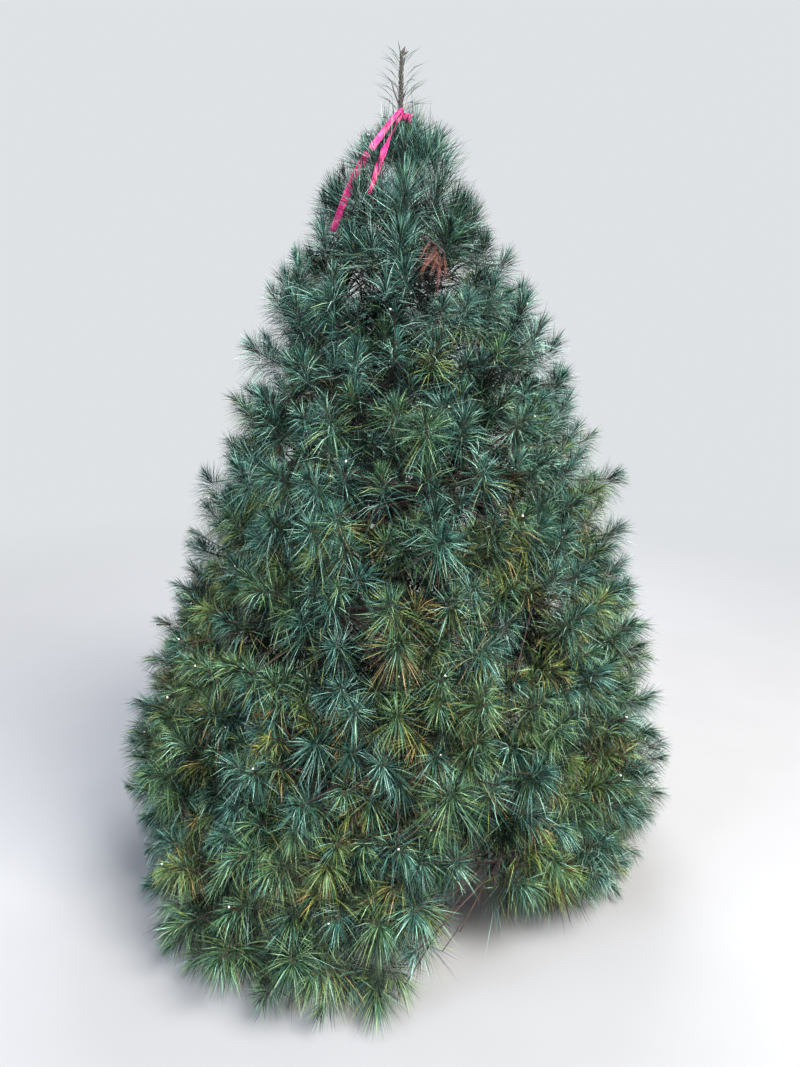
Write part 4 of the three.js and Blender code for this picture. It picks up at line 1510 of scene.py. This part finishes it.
class PINE_OT_dead_spray(Operator):
    """Makes the dead, red-brown spray that hangs below the summit"""

    bl_idname = "pine.dead_spray"
    bl_label = "Dead spray"

    def execute(self, context):
        rng = np.random.default_rng(31)
        foot = np.array(DEAD_FOOT)
        tip = foot + np.array(DEAD_TWIG)
        twig = bezier(foot, mix(foot, tip, 0.5) + [0, 0, 16], tip, 8)[None]
        count, bundle = DEAD_FASCICLES, DEAD_BUNDLE
        share = rng.uniform(0.35, 1, count)
        base = np.repeat(twig[0][np.round(7 * share).astype(int)], bundle, 0)
        sideways, forwards = rng.normal(-0.1, 0.34, count), rng.normal(-0.35, 0.2, count)
        swing = np.stack([sideways, forwards, np.full(count, -0.85)], 1)
        direction = unit(np.repeat(swing, bundle, 0) + rng.normal(0, 0.05, (count * bundle, 3)))
        length = np.repeat(rng.uniform(*DEAD_REACH, count), bundle)
        bend = np.repeat(rng.normal(0, 0.12, (count, 3)) + [0, 0, 0.15], bundle, 0)
        width, roll = np.full(len(base), DEAD_WIDTH), rng.uniform(0, TURN, len(base))
        material = needle_material("pine_needle_dead", linear("#643d35"), 0.7, 0.2)
        needle_piece("needles_dead_spray", (base, direction, length, width, bend, roll), material)
        twig_bark = bpy.data.materials["young_twig_bark"]
        make_piece("twig_dead_spray", [even_tubes(twig, 2.4, 1.8, 6)], twig_bark, "bark")
        return {"FINISHED"}


class PINE_OT_ribbon(Operator):
    """Makes the flagging tape: wound and knotted round the leader, with a loop and two tails"""

    bl_idname = "pine.ribbon"
    bl_label = "Ribbon"

    def execute(self, context):
        ribbon = context.scene.pine_tree.ribbon
        width = ribbon.width / MILLIMETRE
        knot = trunk_centre(KNOT_HEIGHT)
        shapes = [
            film(knot + band["spine"], band["flat"], band["share"], width, band["steps"])
            for band in (LONG_TAIL, SHORT_TAIL, LOOP)
        ]
        angle = np.linspace(0, 2 * TURN, WIND_STEPS)
        radius = trunk_radius(KNOT_HEIGHT) + WIND_ROOM + WIND_RIPPLE * np.sin(3 * angle)
        wound = knot + polar(radius, angle, WIND_SLANT * np.cos(angle))
        upright = np.tile(UP, (WIND_STEPS, 1))
        shapes.append(film(wound, upright, np.full(WIND_STEPS, WIND_SHARE), width, WIND_STEPS))
        foot, lean = knot + [LUMP_PLACE], unit(np.array([LUMP_AXIS]))
        shapes.append(spindles(foot, lean, np.array([LUMP_LENGTH]), np.array([LUMP_RADIUS]), 10))
        make_piece("ribbon", shapes, film_material(ribbon.colour), None)
        return {"FINISHED"}


class PINE_OT_stage(Operator):
    """Sets the plain pale floor, the soft lights and the camera at the photograph's angle"""

    bl_idname = "pine.stage"
    bl_label = "Stage"

    def execute(self, context):
        stage = context.scene.pine_tree.stage
        angle = np.arange(STAGE_SIDES) / STAGE_SIDES * TURN
        rings = polar(np.array(FLOOR_RINGS)[:, None] / MILLIMETRE, angle, 0.0)
        ring = grid(rings)
        hub = np.full(len(angle), ring.size)
        fan = np.stack([hub, ring[0], np.roll(ring[0], -1)], -1)
        points = np.concatenate([rings.reshape(-1, 3), [[0.0, 0.0, 0.0]]])
        shape = (points, [side_walls(ring, turned=True), fan])
        make_piece("floor", [shape], floor_material(stage.floor, stage.backdrop), "stage")

        # A dome of paper that only the camera sees, so the soft light from all round passes it
        rise = np.linspace(DOME_FOOT, 1, DOME_RINGS)[:, None] * math.pi / 2
        reach = DOME_RADIUS / MILLIMETRE
        dome = polar(reach * np.cos(rise), angle, reach * np.sin(rise))
        shape = (dome.reshape(-1, 3), [side_walls(grid(dome), turned=True)])
        backdrop = make_piece("backdrop", [shape], backdrop_material(stage.backdrop), "stage")
        backdrop.visible_diffuse = backdrop.visible_glossy = False
        backdrop.visible_transmission = backdrop.visible_shadow = False

        world = bpy.data.worlds.new("soft_box")
        world.use_nodes = True
        background = world.node_tree.nodes["Background"]
        background.inputs["Color"].default_value = (*linear(SKY_COLOUR), 1)
        background.inputs["Strength"].default_value = stage.sky
        context.scene.world = world
        lights = (
            ("key", (3.9, -3.7, 6.4), 4.2, stage.key, "#fffdfb"),
            ("fill", (-4.8, -4.1, 4.0), 3.4, 0.36 * stage.key, "#e2ecff"),
            ("back", (0.5, 4.5, 4.8), 3.5, 0.3 * stage.key, "#f4f6ff"),
        )
        for name, place, size, power, colour in lights:
            light = bpy.data.lights.new(f"light_{name}", "AREA")
            light.size = size
            light.energy = power
            light.color = linear(colour)
            lamp = bpy.data.objects.new(f"light_{name}", light)
            lamp.location = place
            towards = Vector(LIGHT_TARGET) - Vector(place)
            lamp.rotation_euler = towards.to_track_quat("-Z", "Y").to_euler()
            lamp.visible_camera = False
            context.scene.collection.objects.link(lamp)

        lens = bpy.data.cameras.new("camera")
        lens.sensor_width = SENSOR
        lens.lens = SENSOR * FOCAL_PIXELS / PHOTO_HEIGHT_PIXELS
        camera = bpy.data.objects.new("camera", lens)
        camera.location = CAMERA_PLACE
        camera.rotation_euler = (math.radians(90 - CAMERA_DIP), 0, 0)
        context.scene.collection.objects.link(camera)
        context.scene.camera = camera
        context.scene.view_settings.view_transform = "Standard"
        return {"FINISHED"}


class PINE_PT_panel(Panel):
    bl_label = "Sheared White Pine"
    bl_idname = "PINE_PT_panel"
    bl_space_type = "VIEW_3D"
    bl_region_type = "UI"
    bl_category = "Pine"

    def draw(self, context):
        settings = context.scene.pine_tree
        for group in ("bark", "needles", "ribbon", "stage"):
            box = self.layout.box()
            box.label(text=group.capitalize())
            values = getattr(settings, group)
            for name in values.__annotations__:
                box.prop(values, name)
        for operator in OPERATORS:
            self.layout.operator(operator.bl_idname)


OPERATORS = (
    PINE_OT_trunk,
    PINE_OT_boughs,
    PINE_OT_twigs,
    PINE_OT_needles,
    PINE_OT_buds,
    PINE_OT_leader,
    PINE_OT_dead_spray,
    PINE_OT_ribbon,
    PINE_OT_stage,
)
CLASSES = (
    PineBarkSettings,
    PineNeedleSettings,
    PineRibbonSettings,
    PineStageSettings,
    PineTreeSettings,
    *OPERATORS,
    PINE_PT_panel,
)


def register():
    for cls in CLASSES:
        bpy.utils.register_class(cls)
    bpy.types.Scene.pine_tree = PointerProperty(type=PineTreeSettings)


def unregister():
    del bpy.types.Scene.pine_tree
    for cls in reversed(CLASSES):
        bpy.utils.unregister_class(cls)


def main():
    register()
    for operator in OPERATORS:
        group, name = operator.bl_idname.split(".")
        getattr(getattr(bpy.ops, group), name)()


if __name__ == "__main__":
    main()
